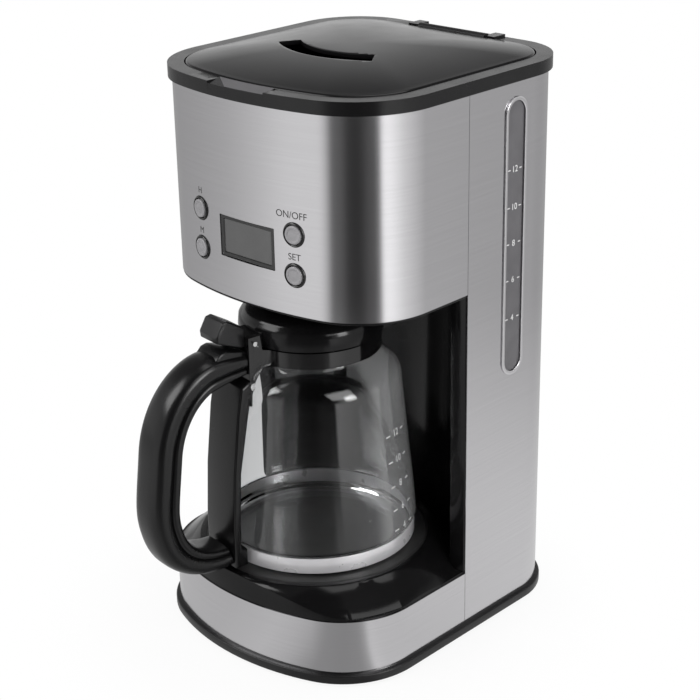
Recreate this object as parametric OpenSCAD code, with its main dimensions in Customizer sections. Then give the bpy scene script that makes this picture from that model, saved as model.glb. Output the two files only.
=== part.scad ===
// Drip coffee maker: a bowed steel head over a glass carafe that stands on a warming plate.
// Millimetres. The origin is on the counter, under the middle of the whole outline with the
// carafe in place. -Y is the front, +X the side with the water gauge, +Z is up.
// Outlines of the body are a bowed front, two corner arcs, straight sides and two rear arcs.

/* [Body outline] */
// Width over the steel sides
body_w = 183; // [176:1:192]
// Steel back, behind the origin
body_back = 129.7; // [125:0.1:136]
// Radius of the rear corners
rear_corner_r = 39.8; // [32:0.1:44]
// Steel front of the head, ahead of the origin
head_front = 62; // [60:0.1:65]
// How far the front of the head bows out over its width
head_bow = 19.2; // [16:0.1:22]
// Radius of the head's front corners
head_corner_r = 50.1; // [44:0.1:54]
// Steel front of the base, ahead of the origin
base_front = 84.3; // [83.6:0.1:90]
// How far the front of the base bows out over its width
base_bow = 29.3; // [26:0.1:32]
// Radius of the base's front corners
base_corner_r = 53.1; // [48:0.1:56]
// Where the front and rear steel sheets meet, behind the origin
seam_y = 30.6; // [26:0.1:34]
// Thickness of the steel sheet
steel_t = 0.8; // [0.5:0.1:1]
// Wall of the plastic mouldings
wall = 2.4; // [2:0.1:2.8]

/* [Heights] */
// Underside of the plinth above the counter
plinth_bottom = 1.5; // [1.2:0.1:2]
// Top of the black plinth
plinth_top = 7.3; // [6.8:0.1:9]
// Top of the steel band round the base
band_top = 43.2; // [41:0.1:45]
// Top of the warming plate and of the ring round it
plate_top = 59; // [57.5:0.1:60]
// Gap between the carafe's lid and the lower edge of the steel head
lid_gap = 11; // [10:0.5:17]
// Height of the steel head
head_h = 120; // [118:0.5:126]
// Height of the black rim on top
rim_h = 8; // [7:0.1:9]
// Rise of the lid above the rim at its middle
lid_crown = 8; // [6:0.1:10]

/* [Base and heater] */
// How far the plinth stands out from the steel
plinth_out = 2.8; // [2:0.1:4]
// Radius of the ring round the warming plate
ring_r = 75; // [74:0.1:75.6]
// Radius of the warming plate
plate_r = 69.5; // [68:0.1:70]
// Centre line radius of the horseshoe heater
heater_r = 48; // [44:0.5:50]
// Outer radius of the water tube under the heater
tube_r = 5.5; // [5:0.1:5.8]
// Radius of the rubber feet
foot_r = 9; // [7:0.5:11]
// Radius of the bottom screws
screw_r = 1.5; // [1.2:0.1:1.8]

/* [Column, tank and gauge] */
// Radius of the concave black wall behind the carafe
bay_r = 88; // [86:0.5:89]
// Floor of the water tank
tank_floor = 156; // [150:1:160]
// Height of the tank's rim under the steel's top edge
tank_drop = 9; // [8:0.5:12]
// Middle of the water gauge, behind the origin
gauge_y = 73.2; // [68:0.1:78]
// Lower end of the gauge window
gauge_bottom = 168.6; // [164:0.1:176]
// Distance of the gauge window's upper end below the steel's top edge
gauge_drop = 11.6; // [11:0.1:20]
// Width of the gauge window
gauge_w = 15.5; // [12:0.1:17]
// Width of the frame round the gauge window
gauge_frame_w = 2.4; // [1.5:0.1:3]
// Sideways place of the mains cord gland
gland_x = -42; // [-42.5:0.5:-30]
// Height of the mains cord gland
gland_z = 27; // [26.6:0.1:30]
// Radius of the bore for the mains cord
gland_bore_r = 3.4; // [2.5:0.1:4]

/* [Head, basket and lid] */
// Outer radius of the filter basket at its top
basket_r = 46; // [42:0.5:47]
// Height of the basket's flange above the steel head's lower edge
basket_h = 107; // [104:0.5:108]
// Outer radius of the basket's outlet neck
neck_r = 11; // [10:0.1:12]
// Radius of the drip stop's stem
stop_r = 4.2; // [3.5:0.1:4.6]
// Travel of the drip stop
stop_travel = 3; // [2:0.1:3.2]
// Width of the rim's step from its outer edge to the lid
rim_step = 10; // [9:0.1:11]
// How far the rim stands out from the steel
rim_out = 2.5; // [1.5:0.1:3]
// Half length of the lid hinge's knuckle
knuckle_half = 27; // [20:0.5:28]
// Radius of the lid hinge pins
pin_r = 1.5; // [1.2:0.1:1.8]
// Half width of the finger scoop in the front of the rim
scoop_half = 22.5; // [20:0.5:28]

/* [Controls] */
// Width of the display window
lcd_w = 44.5; // [38:0.5:46]
// Height of the display window
lcd_h = 25.4; // [20:0.1:27]
// Sideways place of the display
lcd_x = 2.4; // [-1:0.1:3]
// Height of the display's middle above the head's lower edge
lcd_up = 37; // [34:0.5:42]
// Sideways place of the button columns
button_x = 38.6; // [37.5:0.1:40]
// Spacing of the two buttons in a column
button_gap = 24.2; // [20:0.1:26]
// Radius of a button cap
button_r = 5.5; // [4.5:0.1:6]
// Travel of a button
button_travel = 1.2; // [0.8:0.1:1.4]

/* [Carafe] */
// Carafe axis, ahead of the origin
carafe_front = 8; // [7.5:0.1:8.4]
// Largest radius of the glass
glass_r = 63.4; // [60:0.1:64.5]
// Radius of the glass at the shoulder
shoulder_r = 55; // [52:0.1:57]
// Radius of the glass neck
mouth_r = 40.4; // [38:0.1:41.5]
// Height of the glass above the plate
glass_h = 139.5; // [138:0.5:141]
// Height of the glass above its shoulder
neck_h = 30.5; // [28:0.5:34]
// Thickness of the glass
glass_t = 2.4; // [2:0.1:3]
// Height of the steel band round the foot of the glass
foot_band_h = 10; // [8:0.1:11]
// Angle of the handle from straight ahead
handle_turn = 8; // [0:1:12]
// Distance of the grip's middle from the carafe axis
grip_reach = 115; // [108:0.5:116]
// Thickness of the grip, outward from the carafe
grip_depth = 20; // [16:0.5:22]
// Width of the grip
grip_w = 26; // [22:0.5:30]
// Width of the inner strap
strap_w = 30; // [26:0.5:32]
// Radius of the carafe lid
jug_lid_r = 45; // [44:0.1:46]
// Height of the carafe lid above the glass
jug_lid_h = 20; // [16:0.5:21]

/* [Hidden] */

$fn = 72;
half = body_w / 2;
fit = 0.3;                    // clearance between pieces that move past each other
snug = 0.15;                  // clearance between pieces that are fastened together
run = 0.06;                   // radial clearance of a pin in its bore
over = 1;                     // how far a cut runs past what it cuts

// Levels that follow the carafe
glass_top = plate_top + glass_h;
jug_lid_lift = 0.5;           // carafe lid above the glass
head_bottom = glass_top + jug_lid_lift + jug_lid_h + lid_gap;
head_top = head_bottom + head_h;
lcd_z = head_bottom + lcd_up;
gauge_top = head_top - gauge_drop;

// Levels inside the body
cover_bottom = plinth_bottom + 0.5;
cover_top = cover_bottom + 2;
skirt_z = plinth_top + 10;    // where the deck's skirt stands on the plinth's upstand
cover_ledge = 6;              // ledge in the plinth that carries the bottom cover
ring_foot_r = ring_r + 17;    // foot of the sloped deck round the ring
deck_top = band_top + 1.3;
plate_t = 1.2;
block_top = plate_top - plate_t;
block_w = 14;
tube_z = 36.4;
block_bottom = tube_z + tube_r + snug;
leg_back = 97;                // where the water tube's legs end, behind the origin
boss_spots = [for (s = [-1, 1]) each
    [[s * (half - 19.5), 46.3 - base_front], [s * (half - 13.5), seam_y - 12.6]]];
boss_r = 4;
foot_spots = [for (s = [-1, 1]) each
    [[s * (half - 33.5), 38.3 - base_front], [s * (half - 25.5), body_back - 25.7]]];

// Column and tank
bay_wall = 2.5;
tank_gap = 2.5;               // space between the bay's wall and the tank
tank_inset = 3.4;
tank_y = seam_y + 8;
tank_top = head_top - tank_drop;
tank_wall = 2;
flange_inset = steel_t + fit;
valve_h = 13;
valve_top = tank_floor - 4;
hose_r = 7.4;

// Head
bow_r = (half * half + head_bow * head_bow) / (2 * head_bow);
bow_y = -head_front + bow_r;  // centre of the head's bowed front
lip = 1.5;                    // black lip under the steel head
base_plate = 3;
tray_top = head_bottom + basket_h;
tray_t = 3;
tray_hole_r = basket_r + 1.2;
neck_bottom = head_bottom + 1;
neck_top = head_bottom + 10 + stop_travel;
neck_wall = 2.5;
stop_floor = 2;
stop_bottom = head_bottom - 4.5;
stop_disc_r = neck_r - neck_wall - 1;
stop_disc_z = neck_bottom + stop_floor + 2;
bridge_z = neck_top + 3;
cone_t = 2;

// Rim, lid and hinge
rim_top = head_top + rim_h;
rim_opening = rim_step - rim_out;         // inset of the rim's inner wall from the steel
lid_inset = rim_opening + 0.6;
ledge_z = head_top + 2;
ledge_w = 3;
lid_bottom = ledge_z + 0.4;
lid_shell = 2.6;
liner_inset = rim_opening + ledge_w + 1.5;
liner_top = lid_bottom + 2;
liner_bottom = head_top - 4;
lid_mid_y = (body_back - head_front) / 2;
dome_r = 480;
hinge_y = body_back - 5.2;
hinge_z = rim_top - 1;
knuckle_r = 3.2;
ear_half = knuckle_half + 8;
ear_top = hinge_z + 2.4;
hinge_back = body_back + rim_out + 1;
lid_notch_y = hinge_y - 5.5;              // the lid's rear edge between the ears
vent_r = 58;                              // centre line of the curved vent in the lid
vent_half_angle = 35;
vent_w = 13.5;
vent_front = 4;                           // front of that line, behind the origin
shower_r = 30;
channel_w = 12;

// Controls
ring_outer_r = button_r + 1.8;
ring_hole_r = ring_outer_r + snug;
frame_front = 3.2;                        // depth of the control frame behind the steel's face
frame_t = 2;
frame_half = button_x + ring_outer_r + 6.1;
frame_low = lcd_z - 24;
frame_high = lcd_z + 24.5;
board_y = -head_front + 13.5;
board_t = 1.6;
switch_h = 3.1;
button_low = lcd_z - 0.55 - button_gap / 2;
button_high = button_low + button_gap;

// Carafe
glass_bottom = plate_top + 0.4;
band_z = glass_bottom + 1.3;
waist_r = glass_r - 2.2;                  // straight foot of the glass inside its steel band
shoulder_z = glass_top - neck_h;
collar_z = glass_top - 11;
neck_z = collar_z - 0.5;                  // where the neck becomes straight
collar_h = 10;
collar_t = 2.6;
lug_half = 13.5;
ear_in = 9.3;
jug_pin_z = glass_top + 6.2;
jug_pin_reach = 52.2;
handle_top_z = glass_top - 6.5;
handle_low_z = plate_top + 9.5;
strap_t = 5.2;
strap_low_z = glass_bottom + 2.6;

// ---- shapes that repeat -------------------------------------------------------------------

// Points of an arc from angle a to angle b in n steps
function arc(cx, cy, r, a, b, n) =
    [for (i = [0:n]) [cx + r * cos(a + (b - a) * i / n), cy + r * sin(a + (b - a) * i / n)]];

// Body outline: bowed front, corner arcs, sides and rear arcs, all moved in by inset
function body_outline(front, bow, corner, inset) =
    let (
        r = (half * half + bow * bow) / (2 * bow),
        cy = -front + r,
        xc = half - corner,
        yc = cy - sqrt((r - corner) * (r - corner) - xc * xc),
        a = atan2(yc - cy, xc),
        xr = half - rear_corner_r,
        yr = body_back - rear_corner_r
    )
    concat(
        arc(0, cy, r - inset, -180 - a, a, 20),
        arc(xc, yc, corner - inset, a, 0, 18),
        arc(xr, yr, rear_corner_r - inset, 0, 90, 14),
        arc(-xr, yr, rear_corner_r - inset, 90, 180, 14),
        arc(-xc, yc, corner - inset, 180, 180 - a, 18)
    );

// Point on a cubic curve with ends a, d and handles b, c
function cubic(a, b, c, d, t) =
    pow(1 - t, 3) * a + 3 * t * pow(1 - t, 2) * b + 3 * t * t * (1 - t) * c + t * t * t * d;

module head_prism(inset, z0, z1)
    translate([0, 0, z0]) linear_extrude(z1 - z0)
        polygon(body_outline(head_front, head_bow, head_corner_r, inset));

module base_prism(inset, z0, z1)
    translate([0, 0, z0]) linear_extrude(z1 - z0)
        polygon(body_outline(base_front, base_bow, base_corner_r, inset));

// Everything ahead of y, or behind it
module ahead_of(y, z0, z1) translate([-200, y - 300, z0]) cube([400, 300, z1 - z0]);
module behind(y, z0, z1) translate([-200, y, z0]) cube([400, 300, z1 - z0]);

// Moves to the carafe's axis
module on_axis() translate([0, -carafe_front, 0]) children();

module disc(r, z0, z1) translate([0, 0, z0]) cylinder(r = r, h = z1 - z0);

module tube(r_in, r_out, z0, z1)
    difference() {
        disc(r_out, z0, z1);
        disc(r_in, z0 - over, z1 + over);
    }

// Slot with round ends in the side wall, from x0 to x1, centred on the gauge
module side_slot(w, z0, z1, x0, x1)
    translate([x0, gauge_y, 0]) rotate([90, 0, 90]) linear_extrude(x1 - x0)
        polygon(concat(arc(0, z1 - w / 2, w / 2, 0, 180, 18), arc(0, z0 + w / 2, w / 2, 180, 360, 18)));

// Place of a button: x sideways on the bowed front, depth inward from the steel's face
module on_bow(x, z) translate([0, bow_y, z]) rotate([0, 0, asin(x / bow_r)])
    translate([0, -bow_r, 0]) rotate([-90, 0, 0]) children();

module at_buttons() {
    for (x = [-button_x, button_x], z = [button_low, button_high]) on_bow(x, z) children();
}

// Local frame of the handle: +X outward from the carafe, +Y across the grip
module on_handle() on_axis() rotate([0, 0, -90 - handle_turn]) children();

// Side view of a piece of the handle, drawn as [reach, height] points and given a width
module side_view(points, width)
    on_handle() rotate([90, 0, 0]) translate([0, 0, -width / 2]) linear_extrude(width)
        polygon(points);

// Tube through the given rings of points
module swept(rings) {
    n = len(rings[0]);
    m = len(rings);
    polyhedron(
        points = [for (ring = rings, p = ring) p],
        faces = concat(
            [[for (i = [0:n - 1]) i]],
            [for (j = [0:m - 2], i = [0:n - 1])
                [j * n + i, (j + 1) * n + i, (j + 1) * n + (i + 1) % n, j * n + (i + 1) % n]],
            [[for (i = [n - 1:-1:0]) (m - 1) * n + i]]
        )
    );
}

// ---- base ---------------------------------------------------------------------------------

module plinth() {
    color([0.09, 0.09, 0.10])
    difference() {
        union() {
            base_prism(-plinth_out, plinth_bottom, plinth_top);
            base_prism(steel_t + snug, plinth_top, skirt_z);
        }
        base_prism(cover_ledge, plinth_bottom - over, cover_top);
        base_prism(cover_ledge + 3, cover_top - over, plinth_top);
        base_prism(steel_t + snug + wall, plinth_top - 0.01, skirt_z + over);
    }
}

module bottom_cover() {
    color([0.13, 0.13, 0.14])
    difference() {
        base_prism(cover_ledge + fit, cover_bottom, cover_top);
        for (s = boss_spots) translate(s) disc(screw_r + 0.2, 0, cover_top + over);
        for (i = [-4:4]) translate([i * 9 - 1.5, 40, 0]) cube([3, 34, cover_top + over]);
    }
}

module rubber_feet() {
    color([0.06, 0.06, 0.06])
    for (s = foot_spots) translate(s) disc(foot_r, 0, cover_bottom);
}

module bottom_screws() {
    color([0.7, 0.7, 0.72])
    for (s = boss_spots) translate(s) {
        disc(screw_r * 2, cover_bottom - 1.1, cover_bottom);
        disc(screw_r, cover_bottom, cover_top + 10);
    }
}

module base_band() {
    color([0.68, 0.67, 0.68])
    intersection() {
        difference() {
            base_prism(0, plinth_top, band_top);
            base_prism(steel_t, plinth_top - over, band_top + over);
        }
        ahead_of(seam_y - snug, 0, head_top);
    }
}

// Plan of what lies inside the bay's wall
module bay_plan(front_edge, r, z0, z1) {
    ahead_of(front_edge, z0, z1);
    on_axis() disc(r, z0, z1);
}

// Outer form of the deck: flat by the steel, then sloping up to the ring
module deck_form()
    intersection() {
        base_prism(steel_t + snug, band_top - 4, plate_top);
        bay_plan(seam_y - 1.2, bay_r - fit, 0, plate_top + over);
        union() {
            base_prism(0, band_top - 4, deck_top);
            on_axis() translate([0, 0, deck_top])
                cylinder(r1 = ring_foot_r, r2 = ring_r, h = plate_top - deck_top);
        }
    }

module base_deck() {
    color([0.07, 0.07, 0.08]) {
        difference() {
            deck_form();
            intersection() {
                base_prism(steel_t + snug + wall, 0, plate_top);
                union() {
                    base_prism(0, 0, band_top - 1);
                    on_axis() translate([0, 0, band_top - 1.01])
                        cylinder(r1 = ring_foot_r - 6, r2 = plate_r + 2.6, h = plate_top - band_top - 1.6);
                }
            }
            on_axis() disc(plate_r + 1.5, band_top, plate_top + over);
        }
        intersection() {
            difference() {
                base_prism(steel_t + snug, skirt_z, band_top - 4);
                base_prism(steel_t + snug + wall, skirt_z - over, band_top);
            }
            ahead_of(seam_y - 1.2, 0, head_top);
        }
        intersection() {
            for (s = boss_spots) translate(s) tube(screw_r + 0.1, boss_r, cover_top, plate_top);
            union() {
                base_prism(steel_t + snug + wall, cover_top, band_top - 3);
                deck_form();
            }
        }
    }
}

module warming_plate() {
    color([0.25, 0.25, 0.26])
    on_axis() {
        disc(plate_r, block_top, plate_top);
        tube(plate_r - plate_t, plate_r, block_top - 6, block_top);
    }
}

module plate_seal() {
    color([0.12, 0.12, 0.12])
    on_axis() tube(plate_r + 0.1, plate_r + 1.4, block_top - 6, plate_top - 0.1);
}

// Horseshoe plan with straight legs back to y
module horseshoe(r_in, r_out, z0, z1, leg_y)
    on_axis() {
        intersection() {
            tube(r_in, r_out, z0, z1);
            translate([-200, -200, z0 - over]) cube([400, 200, z1 - z0 + 2 * over]);
        }
        for (s = [-1, 1])
            translate([s * (r_in + r_out) / 2 - (r_out - r_in) / 2, 0, z0])
                cube([r_out - r_in, leg_y, z1 - z0]);
    }

module heater_block() {
    out_r = heater_r + block_w / 2;
    leg = sqrt(pow(plate_r - plate_t - fit, 2) - pow(out_r, 2));    // legs end at the plate's skirt
    color([0.74, 0.75, 0.76])
    horseshoe(heater_r - block_w / 2, out_r, block_bottom, block_top, leg);
}

module water_tube() {
    leg = leg_back + carafe_front;
    color([0.8, 0.8, 0.82])
    on_axis() translate([0, 0, tube_z]) {
        rotate([0, 0, 180]) rotate_extrude(angle = 180) translate([heater_r, 0])
            difference() {
                circle(r = tube_r);
                circle(r = tube_r - 1.2);
            }
        for (s = [-1, 1]) translate([s * heater_r, 0, 0]) rotate([-90, 0, 0])
            difference() {
                cylinder(r = tube_r, h = leg);
                translate([0, 0, -over]) cylinder(r = tube_r - 1.2, h = leg + 2 * over);
            }
    }
}

// Strap that draws the heater up against the plate
module heater_clamp() {
    reach = heater_r + block_w / 2 + 3;
    low = tube_z - tube_r - 0.1;
    color([0.6, 0.6, 0.62])
    on_axis() translate([0, 12, 0]) {
        translate([-reach, 0, low - 1.5]) cube([2 * reach, 12, 1.5]);
        for (s = [-1, 1]) translate([s * reach - 0.75, 0, low - 1.5])
            cube([1.5, 12, block_top - low + 1.5]);
    }
}

module thermostat() {
    color([0.8, 0.78, 0.7])
    on_axis() {
        disc(8, block_top - 7, block_top);
        for (s = [-4, 4]) translate([s - 2, -0.4, block_top - 13]) cube([4, 0.8, 6]);
    }
}

// ---- column -------------------------------------------------------------------------------

module rear_shell() {
    color([0.62, 0.61, 0.63])
    difference() {
        intersection() {
            difference() {
                head_prism(0, plinth_top, head_top);
                head_prism(steel_t, plinth_top - over, head_top + over);
            }
            behind(seam_y + snug, 0, head_top + over);
        }
        side_slot(gauge_w + 0.4, gauge_bottom - 0.2, gauge_top + 0.2, half - 5, half + 5);
        translate([gland_x, body_back - 5, gland_z]) rotate([-90, 0, 0]) cylinder(r = 7, h = 10);
    }
}

// Concave black wall behind the carafe, with flat jambs beside it
module column_front() {
    color([0.05, 0.05, 0.06])
    difference() {
        union() {
            intersection() {
                head_prism(steel_t + snug, skirt_z, head_bottom);
                behind(seam_y - 0.8, 0, head_top);
                union() {
                    ahead_of(seam_y + 2.4, 0, head_top);
                    on_axis() disc(bay_r + bay_wall, 0, head_top);
                }
            }
            intersection() {
                on_axis() disc(bay_r + bay_wall, cover_top, skirt_z);
                head_prism(cover_ledge + 6, 0, head_top);
                behind(seam_y + 4, 0, head_top);
            }
        }
        on_axis() disc(bay_r, 0, head_top);
        for (s = [-1, 1]) translate([s * heater_r, 0, tube_z]) rotate([-90, 0, 0])
            cylinder(r = tube_r + 1.5, h = 100);
    }
}

// Plan of the tank: behind the bay's wall, inside the steel
module tank_prism(inset, grow, z0, z1)
    difference() {
        intersection() {
            head_prism(tank_inset + inset, z0, z1);
            behind(tank_y + inset, z0 - over, z1 + over);
        }
        on_axis() disc(bay_r + bay_wall + tank_gap + grow, z0 - over, z1 + over);
    }

module water_tank() {
    color([0.75, 0.77, 0.8, 0.6])
    difference() {
        union() {
            tank_prism(0, 0, tank_floor, tank_top);
            // flange that hangs the tank from the steel's top edge
            intersection() {
                head_prism(flange_inset, tank_top - 2.5, tank_top);
                difference() {
                    behind(tank_y + 12, tank_top - 3, tank_top + over);
                    on_axis() disc(bay_r + bay_wall + tank_gap + 0.5, tank_top - 3, tank_top + over);
                }
            }
            translate([-heater_r, leg_back, 0]) disc(tube_r + 1, valve_top + snug, tank_floor);
        }
        tank_prism(tank_wall, tank_wall, tank_floor + 3, tank_top + over);
        translate([-heater_r, leg_back, 0]) disc(tube_r - 1.5, valve_top - over, tank_floor + 4);
        translate([heater_r, leg_back, 0]) disc(tube_r + 1.9, tank_floor - over, tank_floor + 4);
    }
}

module gauge_window() {
    color([0.38, 0.38, 0.4, 0.8])
    side_slot(gauge_w, gauge_bottom, gauge_top, half - tank_inset + snug, half - 0.2);
}

module gauge_frame() {
    w = gauge_w + 2 * gauge_frame_w;
    color([0.75, 0.74, 0.76])
    difference() {
        side_slot(w, gauge_bottom - gauge_frame_w, gauge_top + gauge_frame_w, half, half + 1.1);
        side_slot(gauge_w, gauge_bottom, gauge_top, half - over, half + 3);
    }
}

module check_valve() {
    color([0.85, 0.85, 0.83])
    translate([-heater_r, leg_back, 0]) {
        tube(tube_r - 1.5, tube_r + 3, valve_top - valve_h, valve_top);
        tube(tube_r - 1.5, tube_r, valve_top - valve_h - 8, valve_top - valve_h);
    }
}

module inlet_hose() {
    top = valve_top - valve_h - snug;
    color([0.8, 0.78, 0.76])
    translate([-heater_r, leg_back + tube_r + 2.5, 0])
    difference() {
        union() {
            translate([0, -tube_r - 2.5, 0]) disc(hose_r, tube_z + tube_r + 3, top);
            translate([0, -tube_r - 2.5, tube_z]) rotate([90, 0, 0]) cylinder(r = hose_r, h = 12);
            translate([0, -tube_r - 2.5, tube_z]) cylinder(r = hose_r, h = tube_r + 3);
            translate([0, -tube_r - 2.5, tube_z]) sphere(r = hose_r);
        }
        translate([0, -tube_r - 2.5, tube_z]) rotate([90, 0, 0]) cylinder(r = tube_r + run, h = 13);
        translate([0, -tube_r - 2.5, 0]) disc(tube_r + run, tube_z, top + over);
    }
}

module riser_tube() {
    color([0.85, 0.85, 0.87])
    translate([heater_r, leg_back, 0])
    difference() {
        union() {
            disc(tube_r, tube_z + hose_r, head_top - 6);
            disc(hose_r, tube_z, tube_z + hose_r + 8);
            translate([0, 0, tube_z]) sphere(r = hose_r);
            translate([0, 0, tube_z]) rotate([90, 0, 0]) cylinder(r = hose_r, h = 12);
        }
        disc(tube_r - 1.2, tube_z, head_top);
        translate([0, 0, tube_z]) rotate([90, 0, 0]) cylinder(r = tube_r + run, h = 13);
    }
}

module riser_grommet() {
    color([0.5, 0.2, 0.15])
    translate([heater_r, leg_back, 0]) {
        tube(tube_r + 0.1, tube_r + 1.8, tank_floor - 2, tank_floor + 3.5);
        tube(tube_r + 1.8, tube_r + 4, tank_floor - 2, tank_floor - 0.1);
    }
}

module cord_gland() {
    color([0.05, 0.05, 0.05])
    translate([gland_x, body_back, gland_z]) rotate([-90, 0, 0])
    difference() {
        union() {
            translate([0, 0, -5]) cylinder(r = 9, h = 5 - steel_t - 0.1);
            translate([0, 0, -5]) cylinder(r = 6.9, h = 7);
            cylinder(r1 = 8.6, r2 = 7.4, h = 2.6);
        }
        translate([0, 0, -6]) cylinder(r = gland_bore_r, h = 10);
    }
}

module terminal_block() {
    color([0.85, 0.85, 0.8])
    translate([gland_x - 14, body_back - 34, cover_top])
    difference() {
        cube([28, 14, 15]);
        for (i = [0:2]) translate([5 + 9 * i, 7, 6]) cylinder(r = 2.2, h = 12);
    }
}

// ---- head ---------------------------------------------------------------------------------

module head_shell() {
    color([0.7, 0.69, 0.7])
    difference() {
        intersection() {
            difference() {
                head_prism(0, head_bottom, head_top);
                head_prism(steel_t, head_bottom - over, head_top + over);
            }
            ahead_of(seam_y - snug, 0, head_top + over);
        }
        translate([lcd_x - lcd_w / 2, -head_front - 5, lcd_z - lcd_h / 2]) cube([lcd_w, 10, lcd_h]);
        at_buttons() translate([0, 0, -5]) cylinder(r = ring_hole_r, h = 10);
    }
}

// Black underside of the head, with a lip under the steel
module head_base() {
    color([0.06, 0.06, 0.07])
    difference() {
        union() {
            intersection() {
                union() {
                    head_prism(0.2, head_bottom - lip, head_bottom);
                    head_prism(steel_t + snug, head_bottom, head_bottom - lip + base_plate);
                }
                bay_plan(seam_y - 1.2, bay_r - fit, 0, head_top);
            }
            intersection() {
                difference() {
                    head_prism(steel_t + snug, head_bottom, head_bottom + 10);
                    head_prism(steel_t + snug + wall, head_bottom - over, head_top);
                }
                ahead_of(seam_y - 1.2, 0, head_top);
            }
        }
        on_axis() disc(neck_r + 1.2, 0, head_top);
    }
}

// Tray under the lid that carries the filter basket
module head_tray() {
    color([0.08, 0.08, 0.09])
    difference() {
        intersection() {
            head_prism(steel_t + snug, tray_top - tray_t, tray_top);
            bay_plan(tank_y - fit, bay_r + bay_wall + tank_gap - fit, 0, head_top);
        }
        on_axis() disc(tray_hole_r, 0, head_top);
    }
}

// Wall of a cone from radius r0 at z0 to r1 at z1, with a thickness
module cone_wall(r0, r1, z0, z1, t)
    rotate_extrude() polygon([[r0 - t, z0], [r0, z0], [r1, z1], [r1 - t, z1]]);

module filter_basket() {
    cone_z = neck_top + 0.01;
    color([0.11, 0.11, 0.12])
    on_axis() {
        difference() {
            union() {
                rotate_extrude() polygon([
                    [neck_r - neck_wall, neck_bottom], [neck_r, neck_bottom], [neck_r, neck_top],
                    [neck_r + 4, neck_top + 3], [basket_r, tray_top], [basket_r + 4, tray_top],
                    [basket_r + 4, tray_top + 2.2], [basket_r - cone_t, tray_top + 2.2],
                    [neck_r + 4 - cone_t, neck_top + 5], [neck_r - neck_wall, neck_top + 2]]);
                disc(neck_r - neck_wall + 0.2, neck_bottom, neck_bottom + stop_floor);
            }
            disc(stop_r + 0.5, neck_bottom - over, neck_bottom + stop_floor + over);
        }
        // bridge that guides the top of the drip stop
        difference() {
            translate([-neck_r - 1.2, -3, bridge_z]) cube([2 * neck_r + 2.4, 6, 2]);
            disc(2.3, bridge_z - over, bridge_z + 3);
        }
    }
}

module mesh_filter() {
    color([0.75, 0.72, 0.6])
    on_axis() {
        cone_wall(neck_r + 4 - cone_t + 2, basket_r - cone_t - 1.2, bridge_z + 9, tray_top, 0.8);
        disc(neck_r + 4 - cone_t + 2, bridge_z + 8, bridge_z + 9);
        tube(basket_r - cone_t - 2.8, basket_r - cone_t - 1.3, tray_top, tray_top + 2.2);
    }
}

module drip_seal() {
    color([0.55, 0.15, 0.12])
    on_axis() tube(stop_r + 0.6, stop_disc_r, neck_bottom + stop_floor, stop_disc_z - fit);
}

module drip_stop() {
    color([0.1, 0.1, 0.1])
    on_axis() {
        disc(stop_r, stop_bottom, stop_disc_z);
        disc(stop_disc_r - 0.3, stop_disc_z, stop_disc_z + 1.5);
        disc(2, stop_disc_z + 1.5, bridge_z + 3);
    }
}

// Wire coil from z0 to z1
module coil(r, wire, turns, z0, z1) {
    n = 14 * turns;
    swept([for (j = [0:n]) let (a = 360 * turns * j / n, z = z0 + wire + (z1 - z0 - 2 * wire) * j / n)
        [for (i = [0:7]) let (p = r + wire * cos(45 * i))
            [p * cos(a), p * sin(a), z + wire * sin(45 * i)]]]);
}

module drip_spring() {
    color([0.75, 0.75, 0.77])
    on_axis() coil(3.6, 0.4, 4, stop_disc_z + 1.6, bridge_z - 0.1);
}

// ---- rim and lid --------------------------------------------------------------------------

// Rod along X with a length either side of the middle
module rod_x(r, x0, x1, y, z) translate([x0, y, z]) rotate([0, 90, 0]) cylinder(r = r, h = x1 - x0);

module top_rim() {
    color([0.08, 0.08, 0.09])
    difference() {
        union() {
            head_prism(-rim_out, head_top, rim_top);
            difference() {
                head_prism(steel_t + snug, head_top - 5, head_top);
                head_prism(steel_t + snug + wall, head_top - 6, head_top + over);
            }
            translate([-ear_half, hinge_y - 2.3, head_top])
                cube([2 * ear_half, hinge_back - hinge_y + 2.3, ear_top - head_top]);
        }
        head_prism(rim_opening, ledge_z, rim_top + over);
        head_prism(rim_opening + ledge_w, head_top - over, rim_top);
        // pocket for the lid's knuckle, and the gap between the two ears
        translate([-knuckle_half - fit, hinge_y - 12, ledge_z + 0.5])
            cube([2 * (knuckle_half + fit), 12 + knuckle_r + 0.6, rim_h + over + 5]);
        translate([-knuckle_half - fit, hinge_y - 12, rim_top])
            cube([2 * (knuckle_half + fit), 30, ear_top - rim_top + over]);
        rod_x(pin_r + run, -ear_half + 2, ear_half - 2, hinge_y, hinge_z);
        // finger scoop
        rod_x(14, -scoop_half, scoop_half, -head_front + 1, rim_top - 5 + 14);
    }
}

module hinge_pins() {
    color([0.75, 0.75, 0.77])
    for (s = [-1, 1]) translate([s * (ear_half + knuckle_half - 6) / 2, 0, 0])
        rod_x(pin_r, -(ear_half - knuckle_half) / 2, (ear_half - knuckle_half) / 2, hinge_y, hinge_z);
}

// Lid's outer form: the outline under a shallow dome
module lid_form(inset, z0, drop)
    intersection() {
        head_prism(inset, z0, rim_top + lid_crown + over);
        translate([0, lid_mid_y, rim_top + lid_crown - drop - dome_r]) rotate([90, 0, 0])
            sphere(r = dome_r, $fn = 128);
    }

module vent_cut(w)
    translate([0, vent_front + vent_r, 0]) intersection() {
        tube(vent_r - w / 2, vent_r + w / 2, rim_top - 12, rim_top + 20);
        translate([0, 0, rim_top - 11]) linear_extrude(30) polygon([
            [0, 0], 2 * vent_r * [-sin(vent_half_angle), -cos(vent_half_angle)],
            2 * vent_r * [sin(vent_half_angle), -cos(vent_half_angle)]]);
    }

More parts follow.
